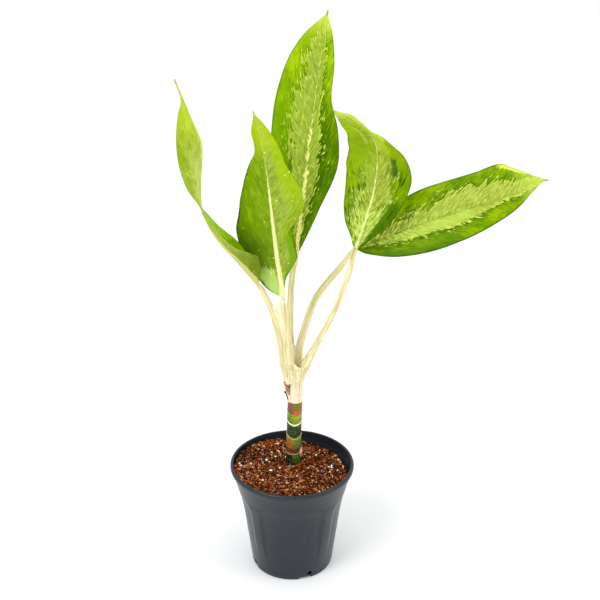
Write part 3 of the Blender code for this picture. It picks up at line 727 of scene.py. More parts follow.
def leaf_upper_finish(name, look):
    """Lime margins with dark strokes, a feathered silver middle, and cream flecks along the rib."""
    f = leaf_shader(name, look, 0.4)
    g = LeafGround(f, look)
    bright, dark, spot, fleck = look["bright"], look["deep"], look["spot"], look["fleck"]
    ragged = f.plus(f.times(f.minus(g.teeth, 0.5), g.sided("feather")), g.off(g.broad, look["ragged"]))
    ragged = f.plus(ragged, f.plus(g.off(g.hair, 0.35), g.off(g.grain, 0.3)))
    inside = f.minus(f.plus(g.by_share("silver"), ragged), g.reach)
    silver = f.soft(inside, -look["softness"], look["softness"])

    lime = f.mix(f.soft(g.cloud, 0.35, 0.65), look["lime"], bright)
    deep = f.plus(g.by_share("deep"), g.off(g.lumps, 0.6))
    deep = f.minus(deep, f.times(f.soft(g.reach, 0.45, 1.0), look["light_edge"]))
    margin = f.mix(f.plus(deep, 0.0, clamp=True), lime, dark)
    margin = f.coats(margin, (
        (g.teeth, 0.5, 0.66, 0.35, dark), (g.hair, 0.47, 0.36, 0.45, dark),
        (g.hair, 0.55, 0.68, 0.4, bright), (inside, -0.2, -0.02, 0.45, dark)))
    spots = f.times(f.soft(g.grain, 0.47, 0.41), f.soft(inside, -0.2, -0.04))
    margin = f.coat(margin, spots, 0.75, spot)
    specks = f.times(f.soft(g.grain, 0.61, 0.67), f.soft(inside, -0.24, -0.05))
    margin = f.coat(margin, specks, 0.85, fleck)

    dull = look["silver_dark"]
    inner = f.mix(f.soft(g.hair, 0.38, 0.62), dull, look["silver_light"])
    inner = f.coat(inner, g.right, look["right_dull"], dull)
    inner = f.coats(inner, (
        (g.teeth, 0.52, 0.68, 0.4, dull), (g.grain, 0.44, 0.34, 0.35, dull),
        (g.grain, 0.58, 0.68, 0.5, fleck)))
    bits = f.times(f.soft(inside, 0.1, 0.01), f.soft(g.hair, 0.48, 0.58))
    inner = f.coat(inner, bits, 0.9, fleck)
    colour = f.coat(margin, silver, look["silvering"], inner)

    colour = g.painted(colour, look["upper_patches"])
    dash = f.times(f.soft(g.hair, 0.48, 0.4), f.soft(g.broad, 0.62, 0.45), f.soft(g.reach, 0.15, 0.45),
                   f.soft(g.share, 0.6, 0.42))
    colour = f.coat(colour, dash, look["dashes"], spot)
    for low, high, paint in ((0.47, 0.4, dark), (0.54, 0.62, fleck)):
        bits = f.times(f.soft(g.grain, low, high), silver, f.soft(g.share, 0.4, 0.15))
        colour = f.coat(colour, bits, look["low_flecks"], paint)

    spikes = f.plus(*[g.off(field, look["rib_spikes"] * amount)
                      for field, amount in ((g.teeth, 0.8), (g.grain, 0.6), (g.hair, 0.5))])
    spikes = f.times(spikes, f.soft(g.share, 0.02, 0.2, 0.3, 1.0), f.soft(g.share, 0.62, 0.5, 0.15, 1.0))
    half = f.plus(f.stations(g.share, look["rib"]), spikes)
    cream = f.times(f.soft(f.minus(half, g.out), -0.02, 0.03), f.soft(g.grain, 0.36, 0.46, 0.55, 1.0))
    colour = f.coat(colour, cream, look["rib_strength"], look["cream"])
    crease = f.times(f.soft(g.out, 0.14, 0.02), f.soft(g.share, 0.9, 0.7))
    colour = f.coat(colour, crease, look["crease"], dark)
    colour = f.coats(colour, [(g.share, 0.86, 0.97, look["tip"], fleck)])
    colour = f.coat(colour, g.rim(0.945, 0.985), look["rim"], look["rim_colour"])
    roughness = f.plus(f.times(g.teeth, 0.14), 0.32)
    return f.finish(colour, roughness, g.height(0.2), 0.0004, 0.3)


def leaf_under_finish(name, look):
    """Olive underside with soft streaks, cream specks and a thick cream rib."""
    f = leaf_shader(name, look, 0.48)
    g = LeafGround(f, look)
    light, dark, streaks = look["under_light"], look["under_deep"], g.sided("under_streaks")
    inside = f.minus(f.plus(look["ghost_width"], g.off(g.broad, 0.9)), g.reach)
    colour = f.mix(g.right, look["under_left"], look["under_right"])
    colour = f.coats(colour, (
        (inside, -0.12, 0.15, g.sided("ghost"), look["under_silver"]),
        (g.cloud, 0.45, 0.7, 0.35, light), (g.teeth, 0.5, 0.66, 0.4, dark),
        (g.hair, 0.49, 0.38, streaks, dark), (g.hair, 0.53, 0.65, streaks, light),
        (g.grain, 0.44, 0.36, 0.3, dark), (g.share, 0.7, 0.86, look["tip"], look["under_tip"])))
    colour = g.painted(colour, look["under_patches"])
    colour = f.coat(colour, f.dots(g.ground, 1.5, 0.13, 0.3), look["dots"], look["cream"])
    rough = f.plus(g.off(g.grain, 0.2), g.off(g.teeth, 0.12))
    half = f.plus(f.stations(g.share, look["under_rib"]), rough)
    cream = f.times(f.soft(f.minus(half, g.out), -0.03, 0.05), f.soft(g.share, 0.74, 0.62, 0.3, 1.0))
    rib_tint = f.coats(look["rib_cream"], [(f.noise(g.ground, 9, 2), 0.56, 0.66, 0.35, dark)])
    colour = f.coat(colour, cream, look["rib_strength"], rib_tint)
    colour = f.coat(colour, g.rim(0.96, 0.99), g.sided("under_rim"), look["rim_colour"])
    return f.finish(colour, None, g.height(-0.3), 0.0004, 0.3)


# What each leaf looks like where it has no look of its own. Left and right are the sides of the
# upper face; rib and silver stations are (share of the length, amount). A patch is its side, shares
# of the length, reaches from rib to edge, tint, strength and softness.
BASE_LOOK = {
    "glow": 0.15,
    "gloss": 0.03,
    "silver_left": ((0, 0.4), (1, 0.5)),
    "silver_right": ((0, 0.4), (1, 0.5)),
    "feather": (0.7, 0.7),
    "ragged": 0.4,
    "softness": 0.015,
    "silvering": 1.0,
    "lime": rgb(124, 162, 0),
    "bright": rgb(164, 198, 0),
    "deep": rgb(62, 104, 0),
    "spot": rgb(44, 84, 0),
    "deep_left": ((0, 0.35), (0.6, 0.2), (1, 0.05)),
    "deep_right": ((0, 0.35), (0.6, 0.2), (1, 0.05)),
    "light_edge": 0.3,
    "silver_dark": rgb(136, 162, 42),
    "silver_light": rgb(172, 192, 78),
    "right_dull": 0.0,
    "fleck": rgb(220, 228, 92),
    "dashes": 0.0,
    "low_flecks": 0.35,
    "cream": rgb(248, 242, 142),
    "rib": ((0, 0.2), (0.7, 0.05), (1, 0)),
    "rib_spikes": 0.5,
    "rib_strength": 1.0,
    "crease": 0.0,
    "tip": 0.5,
    "upper_patches": (),
    "under_left": rgb(146, 164, 30),
    "under_right": rgb(146, 164, 30),
    "under_silver": rgb(172, 184, 66),
    "under_deep": rgb(88, 118, 4),
    "under_light": rgb(190, 202, 76),
    "under_tip": rgb(182, 206, 30),
    "ghost": (0.4, 0.4),
    "ghost_width": 0.5,
    "dots": 0.9,
    "under_rib": ((0, 0.3), (0.7, 0.05), (1, 0)),
    "rib_cream": rgb(248, 240, 168),
    "under_patches": (),
    "under_streaks": (0.47, 0.47),
    "rim": 0.55,
    "under_rim": (0.4, 0.4),
    "rim_colour": rgb(70, 92, 6),
}
LOOKS = {
    "tall": {
        "seed": 1.0,
        "lime": rgb(116, 154, 0),
        "bright": rgb(156, 192, 0),
        "silver_left": ((0, 0.3), (0.3, 0.4), (0.4, 0.46), (0.46, 0.62), (0.5, 0.5), (0.55, 0.6), (0.6, 0.48),
                        (0.65, 0.62), (0.71, 0.48), (0.8, 0.48), (0.86, 0.56), (0.91, 0.42), (0.97, 0.1)),
        "silver_right": ((0, 0.3), (0.2, 0.38), (0.46, 0.42), (0.5, 0.36), (0.65, 0.43), (0.75, 0.38),
                         (0.86, 0.34), (0.92, 0.26), (0.97, 0.0)),
        "slant": (2.6, 2.2),
        "feather": (1.1, 0.5),
        "ragged": 0.2,
        "deep_left": ((0, 0.55), (0.45, 0.46), (0.6, 0.28), (0.8, 0.08), (1, 0.0)),
        # The right half's deep green, strong up to the middle, is partly painted shade on the side away from
        # the light.
        "deep_right": ((0, 0.9), (0.5, 0.9), (0.6, 0.55), (0.7, 0.3), (1, 0.0)),
        "right_dull": 0.45,
        "rib": ((0, 0.29), (0.1, 0.27), (0.3, 0.16), (0.52, 0.11), (0.58, 0.035), (0.74, 0.025), (0.82, 0.0)),
        "rib_spikes": 1.25,
        "cream": rgb(248, 240, 158),
        "upper_patches": (
            (-1, (0.7, 1.2), (0.45, 1.3), rgb(172, 202, 24), 0.22, 0.08),
            (-1, (0.35, 0.72), (0.5, 1.3), rgb(120, 162, 2), 0.45, 0.08),
        ),
    },
    "front": {
        "seed": 8.0,
        "slant": (1.25, 3.2),
        "under_streaks": (0.45, 0.26),
        "under_left": rgb(146, 168, 36),
        "under_right": rgb(114, 148, 0),
        "ghost": (0.75, 0.1),
        "ghost_width": 0.6,
        "under_silver": rgb(150, 170, 72),
        "under_light": rgb(172, 196, 36),
        "under_rib": ((0, 0.36), (0.1, 0.3), (0.3, 0.22), (0.5, 0.11), (0.66, 0.05), (0.8, 0.05), (0.9, 0.03),
                      (0.96, 0)),
        "rib_cream": rgb(230, 229, 160),
        "under_rim": (0.0, 0.0),
        "under_patches": (
            (-1, (0.5, 0.8), (0.4, 1.2), rgb(158, 194, 6), 0.5, 0.08),
            (-1, (-0.1, 0.34), (0.62, 1.2), rgb(104, 154, 0), 0.8, 0.025),
            (-1, (0.05, 0.3), (0.94, 1.2), rgb(46, 86, 4), 0.8, 0.01),
            # Darker olive over the right half low down: painted shade.
            (1, (0.08, 0.3), (0.0, 1.2), rgb(84, 114, 16), 0.5, 0.04),
            # Pale patch at the right half's base: painted light, the one part of this half that the light
            # reaches.
            (1, (-0.1, 0.15), (0.02, 1.2), rgb(178, 208, 108), 0.85, 0.008),
            # Dark olive strip beside the rib, over the pale patch: painted shade along the rib.
            (1, (0.02, 0.17), (0.05, 0.14), rgb(118, 128, 22), 0.75, 0.008),
            (-1, (-0.1, 0.1), (0.1, 0.75), rgb(150, 188, 84), 0.6, 0.015),
            # Dark green along the left half's edge by the base: painted shade where that edge curls.
            (-1, (0.015, 0.13), (0.8, 1.3), rgb(64, 100, 0), 0.7, 0.01),
            (1, (-0.1, 0.12), (0.86, 1.2), rgb(86, 118, 0), 0.9, 0.008),
            (1, (0.2, 0.74), (0.975, 1.3), rgb(26, 50, 6), 0.95, 0.008),
        ),
    },
    "left": {
        "seed": 15.0,
        "slant": (3.6, 3.6),
        "silver_left": ((0, 0.0), (0.42, 0.0), (0.55, 0.5), (0.8, 0.5), (0.95, 0.1)),
        "silver_right": ((0, 0.0), (0.42, 0.0), (0.55, 0.45), (0.8, 0.45), (0.95, 0.1)),
        # The upper side's lime, bright and deep greens are lighter than on the other leaves: partly the
        # leaf's own colour, partly painted light that lifts its far half, which turns away from the lamps,
        # out of shade.
        "lime": rgb(150, 200, 6),
        "bright": rgb(184, 220, 20),
        "deep": rgb(96, 150, 0),
        "deep_left": ((0, 0.1), (1, 0.0)),
        "deep_right": ((0, 0.1), (1, 0.0)),
        "under_rib": ((0, 0.5), (0.12, 0.45), (0.3, 0.26), (0.4, 0.14), (0.48, 0.07), (0.7, 0.05), (0.78, 0)),
        "rib_cream": rgb(212, 208, 136),
        "rib_strength": 0.85,
        "dots": 0.4,
        "under_left": rgb(146, 164, 40),
        "under_right": rgb(132, 158, 24),
        "under_deep": rgb(96, 124, 4),
        "under_light": rgb(186, 202, 88),
        "under_rim": (0.0, 0.7),
        "rim_colour": rgb(112, 120, 16),
        "under_patches": (
            (-1, (0.4, 0.7), (0.2, 0.9), rgb(186, 200, 104), 0.5, 0.08),
            (-1, (0.4, 0.95), (0.93, 1.2), rgb(206, 226, 106), 0.5, 0.02),
            (1, (0.42, 0.8), (0.5, 1.2), rgb(150, 172, 30), 0.4, 0.06),
            (-1, (-0.1, 0.2), (-0.2, 1.2), rgb(108, 130, 14), 0.6, 0.05),
            (-1, (-0.1, 0.1), (-0.2, 1.2), rgb(88, 104, 12), 0.5, 0.03),
            (-1, (0.14, 0.42), (0.94, 1.3), rgb(196, 180, 104), 0.7, 0.02),
            (-1, (-0.1, 0.14), (0.94, 1.3), rgb(120, 116, 40), 0.6, 0.015),
        ),
    },
    "right_upper": {
        "seed": 22.0,
        "silver_left": ((0, 0.9), (0.2, 0.8), (0.3, 0.6), (0.45, 0.45), (0.55, 0.28), (0.65, 0.05), (1, 0)),
        "silver_right": ((0, 0.5), (0.2, 0.55), (0.3, 0.48), (0.4, 0.34), (0.46, 0.42), (0.56, 0.25),
                         (0.63, 0.05), (1, 0)),
        "feather": (0.7, 0.6),
        "softness": 0.15,
        "silvering": 0.85,
        "dashes": 0.9,
        "low_flecks": 0.5,
        "lime": rgb(112, 146, 0),
        "bright": rgb(146, 180, 0),
        "silver_dark": rgb(136, 158, 34),
        "silver_light": rgb(182, 198, 84),
        "fleck": rgb(210, 220, 110),
        "light_edge": 0.1,
        "rib": ((0, 0.2), (0.3, 0.13), (0.45, 0.06), (0.66, 0.035), (0.78, 0.0)),
        "rib_spikes": 0.3,
        "cream": rgb(226, 232, 150),
        "upper_patches": (
            (0, (-0.1, 0.24), (-0.2, 0.62), rgb(206, 228, 104), 0.55, 0.06),
            (-1, (0.4, 0.62), (0.0, 0.75), rgb(142, 170, 30), 0.45, 0.06),
            (-1, (0.55, 0.85), (0.0, 1.2), rgb(140, 168, 24), 0.55, 0.06),
            (1, (0.5, 0.7), (0.0, 0.5), rgb(160, 176, 52), 0.45, 0.05),
            (1, (0.5, 0.9), (0.6, 1.2), rgb(126, 156, 6), 0.7, 0.03),
            (1, (0.3, 0.5), (0.05, 0.4), rgb(148, 156, 50), 0.5, 0.03),
            (1, (0.46, 0.56), (0.46, 0.62), rgb(40, 84, 16), 0.8, 0.015),
            # Dark green along the right half's edge near the base: painted shadow where this leaf meets the
            # right_lower leaf.
            (1, (-0.1, 0.33), (0.62, 1.2), rgb(50, 94, 0), 0.8, 0.03),
            # Lighter yellow-green between the rib and the edge band towards the tip: partly the leaf's own
            # colour, partly painted light against the shade of the fold there.
            (1, (0.6, 0.95), (0.0, 0.66), rgb(188, 206, 66), 0.55, 0.03),
            (1, (0.38, 0.47), (0.6, 0.66), rgb(180, 200, 30), 0.4, 0.015),
            (-1, (0.67, 0.95), (0.26, 0.36), rgb(190, 206, 90), 0.5, 0.02),
            (1, (0.64, 1.1), (0.62, 1.3), rgb(214, 230, 70), 0.6, 0.02),
        ),
    },
    "right_lower": {
        "seed": 29.0,
        "silver_left": ((0, 0.3), (0.2, 0.45), (0.3, 0.38), (0.4, 0.46), (0.5, 0.55), (0.6, 0.66),
                        (0.7, 0.56), (0.82, 0.44), (0.87, 0.44), (0.92, 0.7), (0.97, 1.0)),
        "silver_right": ((0, 0.25), (0.2, 0.36), (0.3, 0.4), (0.4, 0.34), (0.5, 0.44), (0.6, 0.42),
                         (0.7, 0.3), (0.76, 0.18), (0.84, 0.3), (0.9, 0.5), (0.95, 1.0)),
        "feather": (1.1, 0.45),
        "ragged": 0.15,
        "lime": rgb(120, 158, 0),
        "bright": rgb(158, 192, 0),
        "deep": rgb(54, 98, 0),
        "deep_left": ((0, 0.35), (0.4, 0.25), (0.55, 0.7), (0.75, 0.35), (1, 0.3)),
        "deep_right": ((0, 0.8), (0.25, 0.7), (0.5, 0.5), (0.7, 0.3), (1, 0.7)),
        "light_edge": 0.1,
        "rib_strength": 0.0,
        "crease": 0.25,
        "tip": 0.0,
        "silver_dark": rgb(140, 160, 48),
        "silver_light": rgb(176, 192, 84),
        "low_flecks": 0.5,
        "upper_patches": (
            (1, (0.1, 0.6), (0.04, 0.36), rgb(180, 206, 84), 0.6, 0.04),
            (1, (0.15, 0.5), (0.78, 1.2), rgb(66, 112, 0), 0.5, 0.05),
            (-1, (0.77, 0.9), (0.86, 1.3), rgb(228, 242, 84), 0.85, 0.015),
            (0, (0.86, 1.2), (-0.2, 1.3), rgb(200, 222, 84), 0.4, 0.05),
            (1, (0.02, 0.85), (0.94, 1.3), rgb(58, 84, 0), 0.7, 0.01),
        ),
    },
}


# Pot

def outer_profile():
    """Outer side from the rim bead down to the foot, as (r, z) points."""
    rim = RIM_RADIUS
    low = POT_HEIGHT - BEAD_HEIGHT
    return [
        (rim - 2.6, POT_HEIGHT), (rim - 1.5, POT_HEIGHT - 0.3), (rim - 0.6, POT_HEIGHT - 1.1),
        (rim - 0.1, POT_HEIGHT - 2.3), (rim, POT_HEIGHT - 3.6), (rim - 0.1, POT_HEIGHT - 5.0),
        (rim - 0.4, low + 1.2), (rim - 1.0, low + 0.3), (rim - 1.9, low), (rim - 2.2, low - 0.7),
        (rim - 2.1, low - 1.4), (82.8, low - 2.5), (80.7, 143.2), (78.7, 136.5), (76.9, 129.5),
        (76.0, 126.0), (75.3, 123.0), (74.9, 120.0), (74.2, 115.0), (73.3, 110.0), (71.3, 100.0),
        (68.9, 85.3), (65.0, 56.0), (60.1, 27.3), (57.4, 9.5), (56.9, 6.4), (57.0, 5.4), (56.5, 4.8),
        (55.9, 1.4), (55.5, 0.5), (54.8, 0.0),
    ]


def inner_profile():
    """Inner side from the floor's edge up to the rim."""
    wall = [(r - WALL, z) for r, z in outer_profile() if WALL_LOW < z < WALL_HIGH]
    wall.reverse()
    rim = RIM_RADIUS
    top = POT_HEIGHT
    floor_edge = (FOOT_RADIUS - WALL - 1.0, CHANNEL_RISE + WALL)
    return [floor_edge, *wall, (rim - 4.5, top - 6.0), (rim - 4.5, top - 1.6), (rim - 4.2, top - 0.5),
            (rim - 3.6, top - 0.1)]


def inner_radius(z):
    """Radius of the pot's inner side at a height."""
    wall = inner_profile()
    for (r0, z0), (r1, z1) in zip(wall, wall[1:]):
        if z <= z1:
            return r0 + (r1 - r0) * (z - z0) / (z1 - z0)
    return wall[-1][0]


def panel_recess(angle, z):
    """Depth of the pressed panels at a place on the wall, deepest under their rounded top edge."""
    pitch = math.tau / PANEL_COUNT
    from_middle = abs((angle + math.pi / 2 + pitch / 2) % pitch - pitch / 2)
    radius = FOOT_RADIUS + (RIM_RADIUS - FOOT_RADIUS) * z / POT_HEIGHT
    side = (from_middle - PANEL_HALF_ANGLE) * radius
    over = max(side + PANEL_CORNER, 0.0)
    up = max(z - PANEL_TOP + PANEL_CORNER, 0.0)
    reach = math.hypot(over, up)
    outside = reach - PANEL_CORNER
    inner_edge = -PANEL_SIDE_SLOPE - PANEL_TOP_SLOPE * up / max(reach, 1.0)
    edge = 1.0 - smooth_step(outside, inner_edge, PANEL_LIP)
    return PANEL_DEPTH * edge * smooth_step(z, PANEL_FOOT, PANEL_FADE_HEIGHT)


def cutting_bar(sides, radius, length, place):
    bm = bmesh.new()
    bmesh.ops.create_cone(bm, cap_ends=True, segments=sides, radius1=radius * MM, radius2=radius * MM,
                          depth=length * MM, matrix=place)
    return placed("bar", mesh_from(bm))


def notch_cutter(turn):
    """Box that cuts a notch in the foot ring."""
    bm = bmesh.new()
    size = Matrix.Diagonal((FOOT_RING_WIDTH * 2.4 * MM, NOTCH_WIDTH * MM, NOTCH_HEIGHT * 2 * MM, 1))
    middle = FOOT_RADIUS - FOOT_RING_WIDTH * 0.45
    spot = Vector((middle * math.cos(turn), middle * math.sin(turn), 0)) * MM
    place = Matrix.Translation(spot) @ Matrix.Rotation(turn, 4, "Z") @ size
    bmesh.ops.create_cube(bm, size=1.0, matrix=place)
    return placed("notch", mesh_from(bm))


def drain_cutter(turn):
    """Round bar that cuts the drain hole at a notch's right end."""
    radius = FOOT_RADIUS - 1.0
    spot = Vector((radius * math.cos(turn) - DRAIN_OFFSET * math.sin(turn),
                   radius * math.sin(turn) + DRAIN_OFFSET * math.cos(turn),
                   CHANNEL_RISE + WALL + DRAIN_RADIUS - 0.6)) * MM
    place = Matrix.Translation(spot) @ Matrix.Rotation(turn, 4, "Z") @ Matrix.Rotation(math.pi / 2, 4, "Y")
    return cutting_bar(DRAIN_SIDES, DRAIN_RADIUS, DRAIN_LENGTH, place)


def make_pot():
    ring_inner = FOOT_RADIUS - FOOT_RING_WIDTH
    floor_top = [(0.0, WALL), (PAD_RADIUS - 1.4, WALL), (PAD_RADIUS + 1.2, CHANNEL_RISE + WALL)]
    underside = [(ring_inner, 0.0), (ring_inner - 1.0, CHANNEL_RISE), (PAD_RADIUS + 2.0, CHANNEL_RISE),
                 (PAD_RADIUS, 0.0), (0.0, 0.0)]
    sides = stepped(inner_profile(), 6.0) + stepped(outer_profile(), 2.6)
    bm = spun(floor_top + sides + underside, POT_STEPS)
    for vertex in bm.verts:
        x, y, z = vertex.co
        radius = math.hypot(x, y)
        if radius > 50 * MM:
            depth = panel_recess(math.atan2(y, x), z / MM) * MM
            vertex.co.x = x * (radius - depth) / radius
            vertex.co.y = y * (radius - depth) / radius
    cutters = []
    for i in range(NOTCH_COUNT):
        turn = NOTCH_ANGLE + i * math.tau / NOTCH_COUNT
        cutters += [notch_cutter(turn), drain_cutter(turn)]
    mesh = carved(mesh_from(bm), cutters, 38)
    add_piece("pot_shell", mesh, [plastic_finish()], "pot")


# Soil

def soil_height(x, y):
    """Height of the crumbly surface: heaped to the left and round the cane, low at the right."""
    coarse = math.sin(x * 0.31 + 1.3) * math.cos(y * 0.27 - 0.4)
    medium = math.sin(x * 0.83 - y * 0.41 + 2.0) * math.cos(y * 0.77 + x * 0.22)
    clods = SOIL_CLODS * (0.9 * coarse + 0.7 * medium)
    mound = SOIL_MOUND * math.exp(-((x - CANE_X) ** 2 + (y - CANE_Y) ** 2) / 800.0)
    return SOIL_TOP + clods + mound - SOIL_SLANT * math.tanh(x / 45.0)


def soil_profile():
    """Crumbly top in many rings, and a plain cone inside the pressed wall down to the pot's floor."""
    slack = PANEL_DEPTH + SEAT_GAP + 0.25
    lift = WALL + SEAT_GAP
    channel = PAD_RADIUS - 2.2
    rings = [(SOIL_RADIUS * i / SOIL_RINGS, SOIL_TOP) for i in range(SOIL_RINGS + 1)]
    low = [(r - slack, z + (SEAT_GAP if z < 7 else 0.0)) for r, z in inner_profile() if z < PANEL_TOP + 5]
    return rings + [(SOIL_RADIUS, SOIL_TOP - 1.0), (SOIL_RADIUS - 3.5, SOIL_TOP - 14.0), *reversed(low),
                    (channel + 2.4, CHANNEL_RISE + lift), (channel, lift), (0.0, lift)]


def make_soil():
    bm = spun(soil_profile(), SOIL_STEPS)
    for vertex in bm.verts:
        if vertex.co.z > (SOIL_TOP - 2) * MM:
            x, y = vertex.co.x / MM, vertex.co.y / MM
            rough = noise.noise(Vector((x, y, 0)) * 0.45)
            vertex.co.z += (soil_height(x, y) - SOIL_TOP + rough - 0.8) * MM
            inward = min((inner_radius(vertex.co.z / MM) - 1.2) / max(math.hypot(x, y), 1.0), 1.0)
            vertex.co.x *= inward
            vertex.co.y *= inward
    # The bar that cuts the cane's hole is a metre long and starts just under the cane.
    spot = Vector((CANE_X * MM, CANE_Y * MM, 0.5 + (CANE_LOW - SEAT_GAP) * MM))
    radius = CANE_FOOT_RADIUS + SEAT_GAP + 0.15
    cutter = cutting_bar(CANE_HOLE_SIDES, radius, 1000.0, Matrix.Translation(spot))
    mesh = carved(mesh_from(bm), [cutter], 50)
    add_piece("soil_bed", mesh, [soil_finish()], "soil")


def add_bit(batch, layer, dice, spot, size, tone, round_bits):
    """One lump with its own stretch, turn and knocked corners."""
    stretch = Matrix.Diagonal((dice.uniform(0.7, 1.7), dice.uniform(0.6, 1.0), dice.uniform(0.5, 0.9), 1))
    turn = Matrix.Rotation(dice.uniform(0, math.tau), 4, "Z")
    turn = turn @ Matrix.Rotation(dice.gauss(0, 0.7), 4, "X")
    place = Matrix.Translation(Vector(spot) * MM) @ turn @ stretch
    if round_bits:
        made = bmesh.ops.create_icosphere(batch, subdivisions=1, radius=size * MM, matrix=place)
    else:
        made = bmesh.ops.create_cube(batch, size=size * 1.5 * MM, matrix=place)
    for vertex in made["verts"]:
        vertex[layer] = tone
        vertex.co += Vector([dice.gauss(0, 1) for _ in range(3)]) * size * 0.16 * MM


def scatter(name, count, seed, material, lift, round_bits):
    """Small lumps strewn over the soil, each with its own size, turn, shape and tone."""
    dice = random.Random(seed)
    whole = bmesh.new()
    batch = None
    for i in range(count):
        if batch is None:
            batch = bmesh.new()
            layer = batch.verts.layers.float.new("tone")
        angle = dice.uniform(0, math.tau)
        radius = SOIL_RADIUS * math.sqrt(dice.random())
        size = BIT_SIZES[0] + (BIT_SIZES[1] - BIT_SIZES[0]) * dice.random() ** 2.2
        x, y = radius * math.cos(angle), radius * math.sin(angle)
        z = soil_height(x, y)
        tone = dice.random()
        by_cane = math.hypot(x - CANE_X, y - CANE_Y) <= CANE_FOOT_RADIUS + 0.8
        if radius < inner_radius(z) - size - 0.2 and not by_cane:
            add_bit(batch, layer, dice, (x, y, z + size * lift), size, tone, round_bits)
        if i % BITS_IN_A_BATCH == BITS_IN_A_BATCH - 1 or i == count - 1:
            part = bpy.data.meshes.new("batch")
            batch.to_mesh(part)
            batch.free()
            batch = None
            whole.from_mesh(part)
            bpy.data.meshes.remove(part)
    add_piece(name, mesh_from(whole, 25), [material])


# Cane

def cane_radius(z):
    share = smooth_step(z, SOIL_TOP, CROWN_HEIGHT)
    return CANE_FOOT_RADIUS - 0.5 + (CANE_TOP_RADIUS - CANE_FOOT_RADIUS) * share


def make_cane():
    rings = int((CROWN_HEIGHT - CANE_LOW) / CANE_RING_STEP) + 1
    profile = [(0.0, CANE_LOW)]
    for z in [CANE_LOW + i * CANE_RING_STEP for i in range(rings)] + [CROWN_HEIGHT]:
        rise = 0.0
        for scar in SCAR_HEIGHTS:
            off = z - scar
            rise = max(rise, SCAR_RISE * math.exp(-off ** 2))
            rise -= SCAR_GROOVE * math.exp(-((off + 3.0) / 1.6) ** 2)
        profile.append((cane_radius(z) + rise, z))
    profile.append((0.0, CROWN_HEIGHT))
    bm = spun(profile, CANE_STEPS)
    layer = bm.verts.layers.float.new("height")
    for vertex in bm.verts:
        z = vertex.co.z / MM
        vertex[layer] = z
        front = -vertex.co.y / (CANE_FOOT_RADIUS * MM)
        right = vertex.co.x / (CANE_FOOT_RADIUS * MM)
        free = smooth_step(z, SOIL_TOP + 14, SOIL_TOP + 36)
        free *= 1 - smooth_step(z, CROWN_HEIGHT - 14, CROWN_HEIGHT)
        dip = SCAR_DIP * (0.4 - max(front, 0.0) ** 2) - 0.5 * right
        lumps = noise.noise(Vector(vertex.co) * 70) * 0.4
        grow = 1 + lumps * 0.04
        vertex.co.x = vertex.co.x * grow + (CANE_X + CANE_LEAN * max(z - SOIL_TOP, 0)) * MM
        vertex.co.y = vertex.co.y * grow + CANE_Y * MM
        vertex.co.z += dip * free * MM
    add_piece("cane_stem", mesh_from(bm), [cane_finish()], "cane")


def make_bud():
    """Pale pointed side bud that lies against the cane's right side."""
    f = Finish("bud_skin", 0.45)
    blush = f.noise(f.place(), 300, 2)
    material = f.finish(f.mix(blush, rgb(236, 190, 150), rgb(226, 168, 140)), None, blush, 0.0003, 0.3)
    bm = bmesh.new()
    spot = Vector((CANE_X + 10.6, CANE_Y - 4.2, 168.5)) * MM
    place = Matrix.Translation(spot) @ Matrix.Rotation(math.radians(10), 4, "Y")
    bmesh.ops.create_uvsphere(bm, u_segments=18, v_segments=16, radius=1.0 * MM, matrix=Matrix())
    for vertex in bm.verts:
        z = vertex.co.z / MM
        taper = 1.0 - 0.55 * smooth_step(z, -0.2, 1.0)
        vertex.co = Vector((vertex.co.x * 2.6 * taper, vertex.co.y * 2.4 * taper, vertex.co.z * 7.0))
        vertex.co = place @ vertex.co
    add_piece("side_bud", mesh_from(bm), [material])


# Leaf stalks

def bound_at(z):
    """Radius that holds the bundle of stalk feet at a height, and where its middle lies along X."""
    for (z0, r0, x0), (z1, r1, x1) in zip(STALK_BOUND, STALK_BOUND[1:]):
        if z <= z1:
            share = (z - z0) / (z1 - z0)
            return r0 + (r1 - r0) * share, x0 + (x1 - x0) * share
    return STALK_BOUND[-1][1:]


def stalk_points(leaf):
    """Points of a stalk's course from its slice of the crown to just under its blade."""
    rib = course(leaf["rib"])
    ahead = ahead_at(rib, 0.0)
    face = square_to(ahead, eased(leaf["face"], 0.0))
    end = np.array(leaf["rib"][0], float) - ahead * 0.9 - face * RIB_THICKNESS * 0.5
    before_end = end - ahead * 7.0
    middle = math.radians(sum(leaf["wedge"]) / 2)
    foot_x = BUNDLE_X + FOOT_SPREAD * math.cos(middle)
    foot_y = BUNDLE_Y + FOOT_SPREAD * math.sin(middle)
    return [(foot_x, foot_y, CROWN_HEIGHT + SEAT_GAP), *leaf["stalk"], before_end, end]


def stalk_half_size(leaf, share):
    """Half width of a stalk: a clasping foot, a sheath, a round stalk and a slim neck."""
    sheath, end, stalk, neck = leaf["sheath"]
    sizes = ((0, 13), (0.15, 10.5), (0.3, sheath + 1.2), (end - 0.06, sheath), (end + 0.04, stalk + 0.2),
             (0.86, stalk * 0.6 + neck * 0.4), (0.94, neck), (1, 2.3))
    return eased(sizes, share)[0]


def slice_limit(centre, way, leaf):
    """Distance from a centre along a way to the sides of the stalk's slice of the crown."""
    limit = FAR
    flat = np.array((centre[0] - BUNDLE_X, centre[1] - BUNDLE_Y))
    for edge, sign in ((leaf["wedge"][0], 1.0), (leaf["wedge"][1], -1.0)):
        angle = math.radians(edge)
        outward = np.array((math.sin(angle), -math.cos(angle))) * sign
        room = -flat.dot(outward) - SEAT_GAP * 0.6
        pace = way[0] * outward[0] + way[1] * outward[1]
        if pace > 1e-6:
            limit = min(limit, max(room, 0.3) / pace)
    return limit


